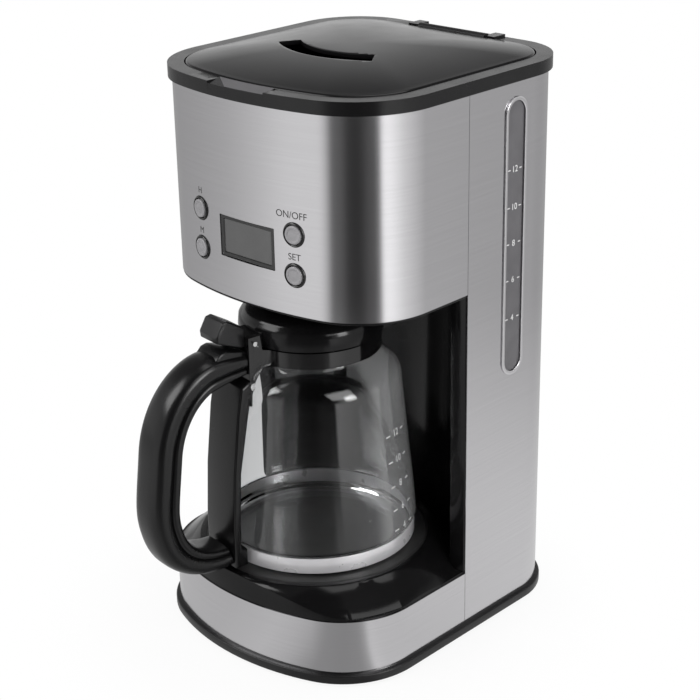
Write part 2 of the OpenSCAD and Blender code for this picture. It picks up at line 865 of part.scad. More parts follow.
module lid() {
    color([0.1, 0.1, 0.11])
    difference() {
        union() {
            difference() {
                lid_form(lid_inset, lid_bottom, 0);
                lid_form(lid_inset + lid_shell, lid_bottom - over, lid_shell);
                translate([-ear_half - fit, lid_notch_y, lid_bottom - over])
                    cube([2 * (ear_half + fit), 20, 20]);
            }
            // bar across the rear that carries the knuckle
            intersection() {
                lid_form(lid_inset, lid_bottom, 0);
                translate([-ear_half - 3, lid_notch_y - 2.5, lid_bottom]) cube([2 * (ear_half + 3), 2.5, 20]);
            }
            rod_x(knuckle_r, -knuckle_half, knuckle_half, hinge_y, hinge_z);
            translate([-knuckle_half, lid_notch_y - 1, rim_top - 2.6])
                cube([2 * knuckle_half, hinge_y - lid_notch_y + 1, 2.4]);
        }
        rod_x(pin_r + run, -ear_half, ear_half, hinge_y, hinge_z);
        vent_cut(vent_w);
    }
}

module lid_liner() {
    color([0.14, 0.14, 0.15])
    difference() {
        intersection() {
            head_prism(liner_inset, liner_bottom, liner_top);
            lid_form(liner_inset - over, liner_bottom - over, lid_shell + fit);
        }
        head_prism(liner_inset + 2, liner_bottom + 2, liner_top + over);
        translate([-60, lid_notch_y - 4, liner_bottom - over]) cube([120, 20, 20]);
        vent_cut(vent_w + 2);
    }
}

module shower_head() {
    spout = [heater_r, leg_back + carafe_front];
    run_len = norm(spout);
    color([0.2, 0.2, 0.21])
    on_axis() {
        difference() {
            disc(shower_r, liner_bottom - 6, liner_bottom);
            disc(shower_r - 2, liner_bottom - 4.5, liner_bottom - 1.5);
            for (r = [8:9:26], a = [0:45:315])
                rotate([0, 0, a + r * 3]) translate([r, 0, liner_bottom - 8]) cylinder(r = 1.2, h = 6);
        }
        rotate([0, 0, atan2(spout[1], spout[0])])
            translate([shower_r - 1, -channel_w / 2, liner_bottom - 1.8])
                cube([run_len - shower_r + 8, channel_w, 1.8]);
    }
}

// ---- controls -----------------------------------------------------------------------------

module lcd_lens() {
    color([0.25, 0.26, 0.27])
    translate([lcd_x - lcd_w / 2 + snug, -head_front + 1.3, lcd_z - lcd_h / 2 + snug])
        cube([lcd_w - 2 * snug, frame_front - 1.3 - 0.1, lcd_h - 2 * snug]);
}

module lcd_module() {
    depth = board_y + head_front - frame_front - frame_t - 0.1;
    color([0.4, 0.42, 0.4])
    translate([lcd_x - lcd_w / 2 + 3, board_y - depth + 1.2, lcd_z - lcd_h / 2 + 2.4])
        cube([lcd_w - 6, depth - 1.2, lcd_h - 4.8]);
}

// Curved plate behind the steel with guides for the buttons and posts for the board
module control_frame() {
    post_x = frame_half - 5;
    color([0.12, 0.12, 0.13])
    difference() {
        union() {
            intersection() {
                difference() {
                    head_prism(steel_t + 0.1, frame_low, frame_high);
                    head_prism(frame_front + frame_t, frame_low - over, frame_high + over);
                }
                translate([-frame_half, -head_front - over, 0])
                    cube([2 * frame_half, 40, head_top]);
            }
            for (x = [-post_x, post_x], z = [frame_low + 4, frame_high - 4])
                translate([x, 0, z]) rotate([-90, 0, 0])
                    translate([0, 0, -head_front + frame_front + 5]) cylinder(r = 2.6, h = board_y
                        + head_front - frame_front - 5);
        }
        intersection() {
            difference() {
                head_prism(0, frame_low + 2.4, frame_high - 2.4);
                head_prism(frame_front, frame_low, frame_high);
            }
            translate([-frame_half + 3, -head_front - over, 0])
                cube([2 * frame_half - 6, 40, head_top]);
        }
        translate([lcd_x - lcd_w / 2 + 2.5, -head_front - over, lcd_z - lcd_h / 2 + 2])
            cube([lcd_w - 5, 12, lcd_h - 4]);
        at_buttons() cylinder(r = button_r + 0.4, h = 12);
        for (x = [-post_x, post_x], z = [frame_low + 4, frame_high - 4])
            translate([x, board_y + 0.5, z]) rotate([90, 0, 0]) cylinder(r = 1.3, h = 6);
    }
}

module control_board() {
    color([0.1, 0.35, 0.2])
    difference() {
        translate([-frame_half + 1, board_y, frame_low + 1])
            cube([2 * frame_half - 2, board_t, frame_high - frame_low - 2]);
        for (x = [-frame_half + 5, frame_half - 5], z = [frame_low + 4, frame_high - 4])
            translate([x, board_y - over, z]) rotate([-90, 0, 0]) cylinder(r = 1.5, h = 6);
    }
}

module board_screws() {
    color([0.75, 0.75, 0.77])
    for (x = [-frame_half + 5, frame_half - 5], z = [frame_low + 4, frame_high - 4])
        translate([x, board_y + board_t, z]) rotate([90, 0, 0]) {
            cylinder(r = 1.2, h = board_t + 4);
            translate([0, 0, -1.5]) cylinder(r = 2.4, h = 1.5);
        }
}

module tact_switches() {
    color([0.2, 0.2, 0.2])
    for (x = [-button_x + 1.3, button_x - 1.3], z = [button_low, button_high])
        translate([x - 3, board_y - switch_h, z - 3]) {
            translate([0, 0.8, 0]) cube([6, switch_h - 0.8, 6]);
            translate([3, 0.8, 3]) rotate([90, 0, 0]) cylinder(r = 1.7, h = 0.8);
        }
}

module button_rings() {
    color([0.1, 0.1, 0.1])
    at_buttons() translate([0, 0, -0.8]) difference() {
        cylinder(r = ring_outer_r, h = frame_front + 0.6);
        translate([0, 0, -over]) cylinder(r = button_r + fit, h = frame_front + 3);
    }
}

module button(x, z)
    color([0.55, 0.55, 0.56])
    on_bow(x, z) {
        translate([0, 0, -1.6]) cylinder(r = button_r, h = 5);
        translate([0, 0, 3.4]) cylinder(r = 3, h = 3.3 - button_travel);
    }

module hour_button() { button(-button_x, button_high); }
module minute_button() { button(-button_x, button_low); }
module power_button() { button(button_x, button_high); }
module program_button() { button(button_x, button_low); }

// ---- carafe -------------------------------------------------------------------------------

// Outer side of the glass from the foot's band to the mouth, moved in by t
function glass_side(t) = concat(
    [for (i = [0:6]) cubic([waist_r - t, band_z + foot_band_h + 0.6], [glass_r - t, band_z + foot_band_h + 1],
        [glass_r - t, band_z + foot_band_h + 3], [glass_r - t, band_z + foot_band_h + 6], i / 6)],
    [for (i = [1:8]) cubic([glass_r - t, band_z + foot_band_h + 6], [glass_r - t - 1.6, shoulder_z - 67],
        [shoulder_r + 2.2 - t, shoulder_z - 29], [shoulder_r - t, shoulder_z], i / 8)],
    [for (i = [1:8]) cubic([shoulder_r - t, shoulder_z], [shoulder_r - t - 0.8, neck_z - 9],
        [mouth_r - t + 1.5, neck_z - 6], [mouth_r - t, neck_z], i / 8)]
);

module carafe_glass() {
    color([0.8, 0.82, 0.84, 0.35])
    on_axis() difference() {
        rotate_extrude() polygon(concat(
            [[0, glass_bottom], [waist_r - 2, glass_bottom], [waist_r, glass_bottom + 1.2]],
            glass_side(0), [[mouth_r, glass_top], [0, glass_top]]));
        rotate_extrude() polygon(concat(
            [[0, glass_bottom + glass_t], [waist_r - 5, glass_bottom + glass_t],
             [waist_r - glass_t, glass_bottom + 4]],
            glass_side(glass_t), [[mouth_r - glass_t, glass_top + over], [0, glass_top + over]]));
    }
}

module carafe_band() {
    color([0.78, 0.77, 0.78])
    on_axis() tube(waist_r + snug, waist_r + 1.2, band_z, band_z + foot_band_h);
}

// Plastic ring round the neck, with the lug that takes the handle and the lid's hinge
module carafe_collar() {
    lug_in = mouth_r;
    lug_out = 56.8;
    color([0.12, 0.12, 0.13])
    difference() {
        union() {
            on_axis() tube(mouth_r + snug, mouth_r + collar_t, collar_z, collar_z + collar_h);
            difference() {
                side_view([[lug_in, collar_z + 1], [mouth_r + 8, collar_z + 1], [lug_out - 2, collar_z - 1],
                    [lug_out - 3, collar_z - 12], [lug_out, collar_z - 12],
                    [lug_out, jug_pin_z + 4.4], [jug_pin_reach - 3.6, jug_pin_z + 4.4],
                    [jug_pin_reach - 5, glass_top + 1], [lug_in, glass_top - 1]], 2 * lug_half);
                on_axis() disc(mouth_r + collar_t / 2, 0, head_top);
            }
        }
        // room for the lid's arm between the ears
        side_view([[mouth_r, glass_top - 1.8], [lug_out + 2, glass_top - 1.8],
            [lug_out + 2, glass_top + 40], [mouth_r, glass_top + 40]], 2 * ear_in);
        on_handle() translate([jug_pin_reach, 0, jug_pin_z]) rotate([90, 0, 0])
            cylinder(r = pin_r + run, h = 4 * lug_half, center = true);
        // room round the lid
        on_axis() disc(jug_lid_r + 0.6, glass_top + 0.2, head_top);
    }
}

// Middle line of the grip as [reach, height]
function grip_line(t) =
    let (
        top = handle_top_z,
        low = handle_low_z,
        far = grip_reach
    )
    t < 1 ? cubic([57.2, top], [64, top], [70, top], [78, top - 1], t)
    : t < 2 ? cubic([78, top - 1], [94, top - 3], [far - 4, top - 20], [far - 1, top - 46], t - 1)
    : t < 3 ? cubic([far - 1, top - 46], [far + 3, top - 78], [far + 5, low + 40], [far, low + 24], t - 2)
    : cubic([far, low + 24], [far - 5, low + 8], [far - 20, low - 0.5], [74.5, low + 1], t - 3);

// Cross-section of the grip: a rounded box, as wide as the strap at its ends
function grip_ring(t, step) =
    let (
        p = grip_line(t),
        a = grip_line(max(t - step, 0)),
        b = grip_line(min(t + step, 4)),
        d = (b - a) / norm(b - a),
        slim = t < 1 ? 0.72 + 0.28 * t : t > 3.2 ? 1 - 0.38 * (t - 3.2) : 1,
        hd = grip_depth / 2 * slim,
        hw = grip_w / 2
    )
    [for (i = [0:15]) let (
        c = cos(22.5 * i), s = sin(22.5 * i),
        u = hd * sign(c) * pow(abs(c), 0.7), v = hw * sign(s) * pow(abs(s), 0.7)
    ) [p[0] - d[1] * u, v, p[1] + d[0] * u]];

module carafe_handle() {
    n = 44;
    color([0.07, 0.07, 0.08])
    on_handle() swept([for (j = [0:n]) grip_ring(4 * j / n, 0.03)]);
}

// Flat inner strap of the handle, which stands off the glass
module handle_strap() {
    out_r = 73.8;
    color([0.1, 0.1, 0.11])
    side_view([
        [out_r - strap_t - 4, strap_low_z], [out_r, strap_low_z], [out_r, handle_low_z + 22],
        [out_r - 2, handle_low_z + 56], [out_r - 6.4, handle_top_z - 30],
        [out_r - 10, handle_top_z - 12.5], [57.2, handle_top_z - 9.6],
        [57.2, handle_top_z - 20], [out_r - 14, handle_top_z - 32],
        [out_r - 2 - strap_t, handle_low_z + 56], [out_r - strap_t, handle_low_z + 22],
        [out_r - strap_t, strap_low_z + foot_band_h + 3],
        [out_r - strap_t - 4, strap_low_z + foot_band_h + 1]], strap_w);
}

module handle_screws() {
    color([0.8, 0.8, 0.82])
    on_handle() for (s = [-1, 1]) translate([lug_reach(), s * lug_half, collar_z - 9])
        rotate([-90 * s, 0, 0]) cylinder(r = 1.9, h = 0.9);
}

function lug_reach() = 55.2;

module carafe_pin() {
    color([0.75, 0.75, 0.77])
    on_handle() translate([jug_pin_reach, 0, jug_pin_z]) rotate([90, 0, 0])
        cylinder(r = pin_r, h = 2 * lug_half + 0.8, center = true);
}

module carafe_lid() {
    z = glass_top + jug_lid_lift;
    color([0.1, 0.1, 0.11])
    difference() {
        union() {
            on_axis() rotate_extrude() polygon([
                [0, z + jug_lid_h - 2.2], [24, z + jug_lid_h - 2.4], [34, z + jug_lid_h - 4.2],
                [jug_lid_r - 4, z + 11], [jug_lid_r - 3, z + 2.4], [mouth_r - 5, z + 2.4],
                [mouth_r - 5, z - 6], [mouth_r - glass_t - 1.2, z - 6], [mouth_r - glass_t - 1.2, z],
                [jug_lid_r - 0.6, z], [jug_lid_r, z + 4], [jug_lid_r - 0.6, z + 10],
                [jug_lid_r - 4, z + 15.5], [jug_lid_r - 11, z + jug_lid_h - 1],
                [20, z + jug_lid_h], [0, z + jug_lid_h]]);
            side_view([[jug_lid_r - 3, z + 0.2], [jug_pin_reach + 3.4, z + 1.4],
                [jug_pin_reach + 3.4, jug_pin_z + 3.4], [jug_lid_r - 3, jug_pin_z + 3.4]],
                2 * (ear_in - fit));
        }
        on_axis() disc(3.5, 0, head_top);
        on_handle() translate([jug_pin_reach, 0, jug_pin_z]) rotate([90, 0, 0])
            cylinder(r = pin_r + run, h = 4 * lug_half, center = true);
    }
}

// Thumb lever fixed to the lid's arm
module lid_lever() {
    x = jug_pin_reach + 3.4 + 0.05;
    color([0.09, 0.09, 0.1])
    side_view([[x, jug_pin_z - 2.4], [x + 3.5, jug_pin_z - 2.4], [x + 20, jug_pin_z + 4.4],
        [x + 20.4, jug_pin_z + 8], [x + 15.6, jug_pin_z + 16.4], [x + 12.4, jug_pin_z + 17],
        [x, jug_pin_z + 9.6]], 2 * (ear_in - fit));
}

plinth();
bottom_cover();
rubber_feet();
bottom_screws();
base_band();
base_deck();
warming_plate();
plate_seal();
heater_block();
water_tube();
heater_clamp();
thermostat();
rear_shell();
column_front();
water_tank();
gauge_window();
gauge_frame();
check_valve();
inlet_hose();
riser_tube();
riser_grommet();
cord_gland();
terminal_block();
head_shell();
head_base();
head_tray();
filter_basket();
mesh_filter();
drip_seal();
drip_stop();
drip_spring();
top_rim();
hinge_pins();
lid();
lid_liner();
shower_head();
lcd_lens();
lcd_module();
control_frame();
control_board();
board_screws();
tact_switches();
button_rings();
hour_button();
minute_button();
power_button();
program_button();
carafe_glass();
carafe_band();
carafe_collar();
carafe_handle();
handle_strap();
handle_screws();
carafe_pin();
carafe_lid();
lid_lever();
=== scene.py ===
"""Looks of the drip coffee maker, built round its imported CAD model.

Metres, in the model's own frame: +Z up, -Y the front, +X the side with the water gauge.
"""

import math

import bmesh
import bpy
from mathutils import Matrix, Vector


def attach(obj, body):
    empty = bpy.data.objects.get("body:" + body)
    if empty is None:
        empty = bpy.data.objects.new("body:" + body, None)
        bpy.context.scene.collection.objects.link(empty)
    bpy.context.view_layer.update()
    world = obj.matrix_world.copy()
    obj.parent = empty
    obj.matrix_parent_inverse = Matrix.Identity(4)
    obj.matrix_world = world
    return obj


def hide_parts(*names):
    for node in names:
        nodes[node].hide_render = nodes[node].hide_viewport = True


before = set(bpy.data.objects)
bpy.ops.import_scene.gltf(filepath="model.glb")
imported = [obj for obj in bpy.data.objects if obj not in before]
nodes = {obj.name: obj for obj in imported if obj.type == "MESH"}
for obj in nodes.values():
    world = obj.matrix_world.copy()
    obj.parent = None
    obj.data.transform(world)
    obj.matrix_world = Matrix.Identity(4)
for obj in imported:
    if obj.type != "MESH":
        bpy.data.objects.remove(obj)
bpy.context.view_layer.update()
MM = 0.001

# ---- driving sizes, millimetres -------------------------------------------------------------

HALF = 91.5                   # half the width over the steel
BACK = 129.7                  # steel back
REAR_CORNER = 39.8
HEAD = dict(front=62.0, bow=19.2, corner=50.1)
BASE = dict(front=84.3, bow=29.3, corner=53.1)
RIM_TOP = 358.0
RIM_OUT = 2.5                 # how far the rim stands out from the steel
SCOOP_INNER = 7.3             # inset of the scoop's inner end, just short of the rim's inside
SCOOP_HALF = 22.4
LID_TOP = 365.97
LID_BOTTOM = 352.4
LID_INSET = 8.1
LID_SHELL = 2.6
LID_EDGE = RIM_TOP + 0.8       # top of the lid along its edge
LID_MID_Y = (BACK - HEAD["front"]) / 2
HINGE_Y = BACK - 5.2
HINGE_Z = RIM_TOP - 1.0
KNUCKLE_R = 3.2
KNUCKLE_HALF = 27.0
EAR_HALF = 35.0
NOTCH_Y = HINGE_Y - 5.5
VENT_R = 58.0
VENT_FRONT = 4.0
VENT_W = 13.5
VENT_LEFT = 41.0              # degrees that the vent reaches to the left of the middle
VENT_RIGHT = 35.0             # and to the right of it

PLINTH_TOP = 7.3
BAND_TOP = 43.2
HEAD_BOTTOM = 230.0
HEAD_TOP = 350.0
SEAM_Y = 30.6                  # where the front and rear steel sheets meet
STEEL_T = 0.8
SNUG = 0.15

PLATE_TOP = 59.0
AXIS_Y = -8.0                 # the carafe's axis
GLASS_R = 63.4
WAIST_R = 61.2
SHOULDER_R = 55.0
MOUTH_R = 40.4
GLASS_T = 1.3
GLASS_BOTTOM = PLATE_TOP + 0.4
BAND_Z = GLASS_BOTTOM + 1.3
BAND_H = 10.0
SHOULDER_Z = PLATE_TOP + 109
GLASS_TOP = PLATE_TOP + 139.5
HANDLE_TURN = math.radians(8)
HANDLE_TOP = GLASS_TOP - 6.5
HANDLE_LOW = PLATE_TOP + 9.5
GRIP_REACH = 114.85
GRIP_DEPTH = 20.0
GRIP_W = 26.0

GAUGE_Y = 73.2
GAUGE_SLOT = dict(width=15.9, low=168.4, high=338.6)
GLAND = (-42.0, 27.0, 7.0)     # across, height and radius of the hole for the cord gland
LCD_X = 2.4
LCD_Z = 267.0
LCD_W = 44.5
LCD_H = 25.4
BUTTON_X = 38.6
BUTTON_PITCH = 24.2           # from a lower button to the one above it
BUTTON_LOW = LCD_Z - 0.55 - BUTTON_PITCH / 2
BUTTON_HIGH = BUTTON_LOW + BUTTON_PITCH
BUTTON_R = 5.5
BOW_R = (HALF ** 2 + HEAD["bow"] ** 2) / (2 * HEAD["bow"])
BOW_Y = -HEAD["front"] + BOW_R


# ---- camera and studio ----------------------------------------------------------------------

def make_camera():
    """The photograph's view: its direction, distance, focal length and slight roll."""
    azimuth, elevation, roll = (math.radians(v) for v in (43.70, 22.43, -1.07))
    target = Vector((3.39, 22.0, 174.11)) * MM
    distance = 1.06693
    back = Vector((math.sin(azimuth) * math.cos(elevation),
                   -math.cos(azimuth) * math.cos(elevation), math.sin(elevation)))
    right = Vector((math.cos(azimuth), math.sin(azimuth), 0))
    up = back.cross(right)
    side = right * math.cos(roll) + up * math.sin(roll)
    top = up * math.cos(roll) - right * math.sin(roll)
    lens = bpy.data.cameras.new("photo_camera")
    lens.lens = 87.33
    lens.sensor_width = 36
    lens.clip_start = 0.05
    camera = bpy.data.objects.new("photo_camera", lens)
    bpy.context.scene.collection.objects.link(camera)
    turn = Matrix((side, top, back)).transposed().to_4x4()
    camera.matrix_world = Matrix.Translation(target + back * distance) @ turn
    bpy.context.scene.camera = camera


def new_node(tree, kind, **settings):
    node = tree.nodes.new(kind)
    for name, value in settings.items():
        setattr(node, name, value)
    return node


def ramp(tree, value, stops, colours=False):
    """Colour ramp over a 0 to 1 value; stops are (place, grey) or (place, colour) pairs."""
    node = new_node(tree, "ShaderNodeValToRGB")
    points = node.color_ramp.elements
    while len(points) < len(stops):
        points.new(0.5)
    for point, (place, tone) in zip(points, stops):
        point.position = place
    for point, (place, tone) in zip(points, stops):
        point.color = (*tone, 1) if colours else (tone, tone, tone, 1)
    tree.links.new(value, node.inputs["Fac"])
    return node.outputs["Color"]


def mapped(tree, value, from_min, from_max, to_min=0.0, to_max=1.0, smooth=False):
    node = new_node(tree, "ShaderNodeMapRange")
    if smooth:
        node.interpolation_type = "SMOOTHSTEP"
    for name, number in (("From Min", from_min), ("From Max", from_max),
                         ("To Min", to_min), ("To Max", to_max)):
        node.inputs[name].default_value = number
    tree.links.new(value, node.inputs["Value"])
    return node.outputs["Result"]


def maths(tree, operation, a, b=None):
    node = new_node(tree, "ShaderNodeMath", operation=operation)
    for socket, value in zip(node.inputs, (a, b)):
        if value is None:
            continue
        if isinstance(value, (int, float)):
            socket.default_value = value
        else:
            tree.links.new(value, socket)
    return node.outputs["Value"]


# What the steel mirrors from the studio floor, as (compass angle from the front, brightness),
# far from the machine and close to it. The dark stretch is the unlit side of the room.
FAR_TONES = [(-180, 0.45), (-100, 0.42), (-70, 0.46), (-50, 0.56), (-36, 0.72), (-26, 0.90),
             (-6, 0.93), (3, 0.62), (9, 0.13), (20, 0.15), (30, 0.05), (44, 0.04), (55, 0.10),
             (69, 0.08), (72, 1.50), (82, 1.35), (100, 0.92), (122, 0.66), (139, 0.49),
             (160, 0.45), (180, 0.45)]
NEAR_TONES = [(-180, 0.7), (-100, 0.64), (-60, 0.62), (-20, 0.62), (-6, 0.66), (6, 0.70), (16, 0.64),
              (22, 0.57), (28, 0.46), (34, 0.37), (47, 0.34), (58, 0.36), (62, 0.48), (65, 0.82),
              (72, 0.74), (92, 0.72), (139, 0.80), (180, 0.7)]

# The same for the studio's walls, which the upright glass and the glossy blacks mirror
WALL_TONES = [(-180, 1.0), (-60, 1.0), (-6, 1.05), (4, 0.9), (8, 0.10), (40, 0.05), (66, 0.08),
              (74, 0.25), (80, 1.3), (100, 1.2), (125, 1.0), (180, 1.0)]
WINDOW = dict(start=84, end=101, low=0.02, high=0.42, strength=9.0)

FLOOR_BLEND = (0.16, 0.75)    # metres from the middle, from the near tones to the far ones
FLOOR_SHADOW = (0.11, 0.20)   # metres from the middle over which the soft shadow fades
# The painted sheen on the glass, a pale patch that stands in for a reflection: where it begins and ends,
# as compass angles, and its lower edge
GLASS_PAINTED_SHEEN = dict(start=(78, 92), end=(150, 140), low=(0.064, 0.072), strength=0.12)


def compass_angle(tree, split):
    """Angle from the front, towards +X, of a point or direction that has been split."""
    ahead = maths(tree, "MULTIPLY", split.outputs["Y"], -1)
    return maths(tree, "ARCTAN2", split.outputs["X"], ahead)


def tone_ramp(tree, compass, tones):
    top = max(tone for angle, tone in tones)
    colour = ramp(tree, mapped(tree, compass, -math.pi, math.pi),
                  [((angle + 180) / 360, tone / top) for angle, tone in tones])
    return maths(tree, "MULTIPLY", colour, top)


def make_floor():
    """A pale floor: white to the camera with a soft shadow, and the studio's tones in reflections."""
    size = 3.0
    mesh = bpy.data.meshes.new("studio_floor")
    mesh.from_pydata([(-size, -size, 0), (size, -size, 0), (size, size, 0), (-size, size, 0)],
                     [], [(0, 1, 2, 3)])
    floor = bpy.data.objects.new("studio_floor", mesh)
    bpy.context.scene.collection.objects.link(floor)

    material = bpy.data.materials.new("studio_floor")
    material.use_nodes = True
    tree = material.node_tree
    tree.nodes.clear()
    link = tree.links.new
    place = new_node(tree, "ShaderNodeNewGeometry").outputs["Position"]
    split = new_node(tree, "ShaderNodeSeparateXYZ")
    link(place, split.inputs["Vector"])
    compass = compass_angle(tree, split)
    length = new_node(tree, "ShaderNodeVectorMath", operation="LENGTH")
    link(place, length.inputs[0])
    distance = length.outputs["Value"]
    far = tone_ramp(tree, compass, FAR_TONES)
    near = tone_ramp(tree, compass, NEAR_TONES)
    blend = mapped(tree, distance, *FLOOR_BLEND, smooth=True)
    tone = maths(tree, "ADD", maths(tree, "MULTIPLY", far, blend),
                 maths(tree, "MULTIPLY", near, maths(tree, "SUBTRACT", 1.0, blend)))

    matte = new_node(tree, "ShaderNodeBsdfDiffuse")
    matte.inputs["Color"].default_value = (0.78, 0.78, 0.78, 1)
    white = new_node(tree, "ShaderNodeEmission")
    mirrored = new_node(tree, "ShaderNodeEmission")
    link(tone, mirrored.inputs["Strength"])
    shadowed = new_node(tree, "ShaderNodeMixShader")
    link(mapped(tree, distance, *FLOOR_SHADOW, 0.90, 1.0, smooth=True), shadowed.inputs["Fac"])
    link(matte.outputs["BSDF"], shadowed.inputs[1])
    link(white.outputs["Emission"], shadowed.inputs[2])
    rays = new_node(tree, "ShaderNodeLightPath")
    seen = new_node(tree, "ShaderNodeMixShader")
    link(maths(tree, "MAXIMUM", rays.outputs["Is Camera Ray"], rays.outputs["Is Transmission Ray"]),
         seen.inputs["Fac"])
    link(matte.outputs["BSDF"], seen.inputs[1])
    link(shadowed.outputs["Shader"], seen.inputs[2])
    final = new_node(tree, "ShaderNodeMixShader")
    link(rays.outputs["Is Glossy Ray"], final.inputs["Fac"])
    link(seen.outputs["Shader"], final.inputs[1])
    link(mirrored.outputs["Emission"], final.inputs[2])
    out = new_node(tree, "ShaderNodeOutputMaterial")
    link(final.outputs["Shader"], out.inputs["Surface"])
    floor.data.materials.append(material)


def make_world():
    """White background; soft grey light; in reflections a bright wall under a dimmer ceiling."""
    world = bpy.data.worlds.new("studio")
    bpy.context.scene.world = world
    world.use_nodes = True
    tree = world.node_tree
    tree.nodes.clear()
    link = tree.links.new
    place = new_node(tree, "ShaderNodeTexCoord").outputs["Generated"]
    split = new_node(tree, "ShaderNodeSeparateXYZ")
    link(place, split.inputs["Vector"])
    height = split.outputs["Z"]
    compass = compass_angle(tree, split)
    ceiling = ramp(tree, height, [(0.0, 0.80), (0.2, 0.78), (0.40, 0.42), (0.58, 0.13), (1.0, 0.18)])
    wall = maths(tree, "MULTIPLY", ceiling, tone_ramp(tree, compass, WALL_TONES))
    blur, fade = math.radians(2), 0.03
    low, high = WINDOW["low"], WINDOW["high"]
    start, end = math.radians(WINDOW["start"]), math.radians(WINDOW["end"])
    across = maths(tree, "MULTIPLY", mapped(tree, compass, start, start + blur),
                   mapped(tree, compass, end, end - blur))
    upward = maths(tree, "MULTIPLY", mapped(tree, height, low, low + fade),
                   mapped(tree, height, high, high - fade))
    window = maths(tree, "MULTIPLY", maths(tree, "MULTIPLY", across, upward), WINDOW["strength"])
    rays = new_node(tree, "ShaderNodeLightPath")

    def light(strength):
        node = new_node(tree, "ShaderNodeBackground")
        node.inputs["Color"].default_value = (1, 1, 1, 1)
        node.inputs["Strength"].default_value = strength
        return node

    soft = light(0.62)
    white = light(1.0)
    mirrored = light(1.0)
    link(maths(tree, "ADD", wall, window), mirrored.inputs["Strength"])
    seen = new_node(tree, "ShaderNodeMixShader")
    link(maths(tree, "MAXIMUM", rays.outputs["Is Camera Ray"], rays.outputs["Is Transmission Ray"]),
         seen.inputs["Fac"])
    link(soft.outputs["Background"], seen.inputs[1])
    link(white.outputs["Background"], seen.inputs[2])
    final = new_node(tree, "ShaderNodeMixShader")
    link(rays.outputs["Is Glossy Ray"], final.inputs["Fac"])
    link(seen.outputs["Shader"], final.inputs[1])
    link(mirrored.outputs["Background"], final.inputs[2])
    out = new_node(tree, "ShaderNodeOutputWorld")
    link(final.outputs["Shader"], out.inputs["Surface"])


def make_lamp(name, place, aim, size, power):
    data = bpy.data.lights.new(name, "AREA")
    data.shape = "RECTANGLE"
    data.size, data.size_y = size
    data.energy = power
    data.specular_factor = 0.0
    lamp = bpy.data.objects.new(name, data)
    bpy.context.scene.collection.objects.link(lamp)
    lamp.location = place
    lamp.rotation_euler = (Vector(aim) - Vector(place)).to_track_quat("-Z", "Y").to_euler()


# ---- materials ------------------------------------------------------------------------------

class Finish:
    """A procedural material round one Principled shader. Constants go on its own sockets."""

    def __init__(self, name, **constants):
        self.material = bpy.data.materials.new(name)
        self.material.use_nodes = True
        self.tree = self.material.node_tree
        self.shader = self.tree.nodes["Principled BSDF"]
        for socket, value in constants.items():
            self.shader.inputs[socket.replace("_", " ")].default_value = value
        self.place = new_node(self.tree, "ShaderNodeTexCoord").outputs["Object"]

    def noise(self, scale, detail=3.0):
        """Noise whose features are 1/scale metres long; scale is one number or one for each axis."""
        mapping = new_node(self.tree, "ShaderNodeMapping")
        mapping.inputs["Scale"].default_value = scale if isinstance(scale, tuple) else (scale,) * 3
        self.tree.links.new(self.place, mapping.inputs["Vector"])
        texture = new_node(self.tree, "ShaderNodeTexNoise")
        texture.inputs["Scale"].default_value = 1.0
        texture.inputs["Detail"].default_value = detail
        self.tree.links.new(mapping.outputs["Vector"], texture.inputs["Vector"])
        return texture.outputs["Fac"]

    def colour(self, value, dark, light):
        tones = [(0.32, dark), (0.68, light)]
        colour = ramp(self.tree, value, tones, colours=True)
        self.tree.links.new(colour, self.shader.inputs["Base Color"])

    def roughness(self, value, low, high):
        rough = mapped(self.tree, value, 0.3, 0.7, low, high)
        self.tree.links.new(rough, self.shader.inputs["Roughness"])

    def bump(self, value, height, strength=1.0):
        node = new_node(self.tree, "ShaderNodeBump")
        node.inputs["Distance"].default_value = height * MM
        node.inputs["Strength"].default_value = strength
        self.tree.links.new(value, node.inputs["Height"])
        self.tree.links.new(node.outputs["Normal"], self.shader.inputs["Normal"])
        return self


def grey(value, tint=0.0):
    """A grey with the slightly violet cast of the part's blacks and steels."""
    return (value * (1 + tint * 0.4), value * (1 - tint * 0.2), value * (1 + tint))


def brushed(name, tone, rough, anisotropic):
    """Steel with fine level brush lines, which stretch reflections up and down."""
    finish = Finish(name, Metallic=1.0, Anisotropic=anisotropic)
    lines = finish.noise((14, 14, 1500), detail=3)
    clouds = finish.noise((9, 9, 14), detail=2)
    tangent = new_node(finish.tree, "ShaderNodeTangent", direction_type="RADIAL", axis="Z")
    finish.tree.links.new(tangent.outputs["Tangent"], finish.shader.inputs["Tangent"])
    finish.colour(lines, grey(tone * 0.98, 0.02), grey(tone * 1.02, 0.02))
    finish.roughness(clouds, rough * 0.95, rough * 1.05)
    return finish.bump(lines, 0.002, 0.25)


def moulded(name, tone, rough, grain_scale, grain_height, **constants):
    """Moulded plastic: a fine grain, faint clouding of the colour and of the gloss."""
    tint = 0.05
    finish = Finish(name, **constants)
    finish.colour(finish.noise(35, detail=4), grey(tone * 0.86, tint), grey(tone * 1.14, tint))
    finish.roughness(finish.noise(60, detail=5), rough * 0.85, rough * 1.15)
    return finish.bump(finish.noise(grain_scale, detail=3), grain_height)


def tinted(name, dark, light, rough, grain_scale=1500, grain_height=0.01, **constants):
    finish = Finish(name, **constants)
    finish.colour(finish.noise(60, detail=4), dark, light)
    finish.roughness(finish.noise(90, detail=4), rough * 0.85, rough * 1.15)
    return finish.bump(finish.noise(grain_scale, detail=3), grain_height)


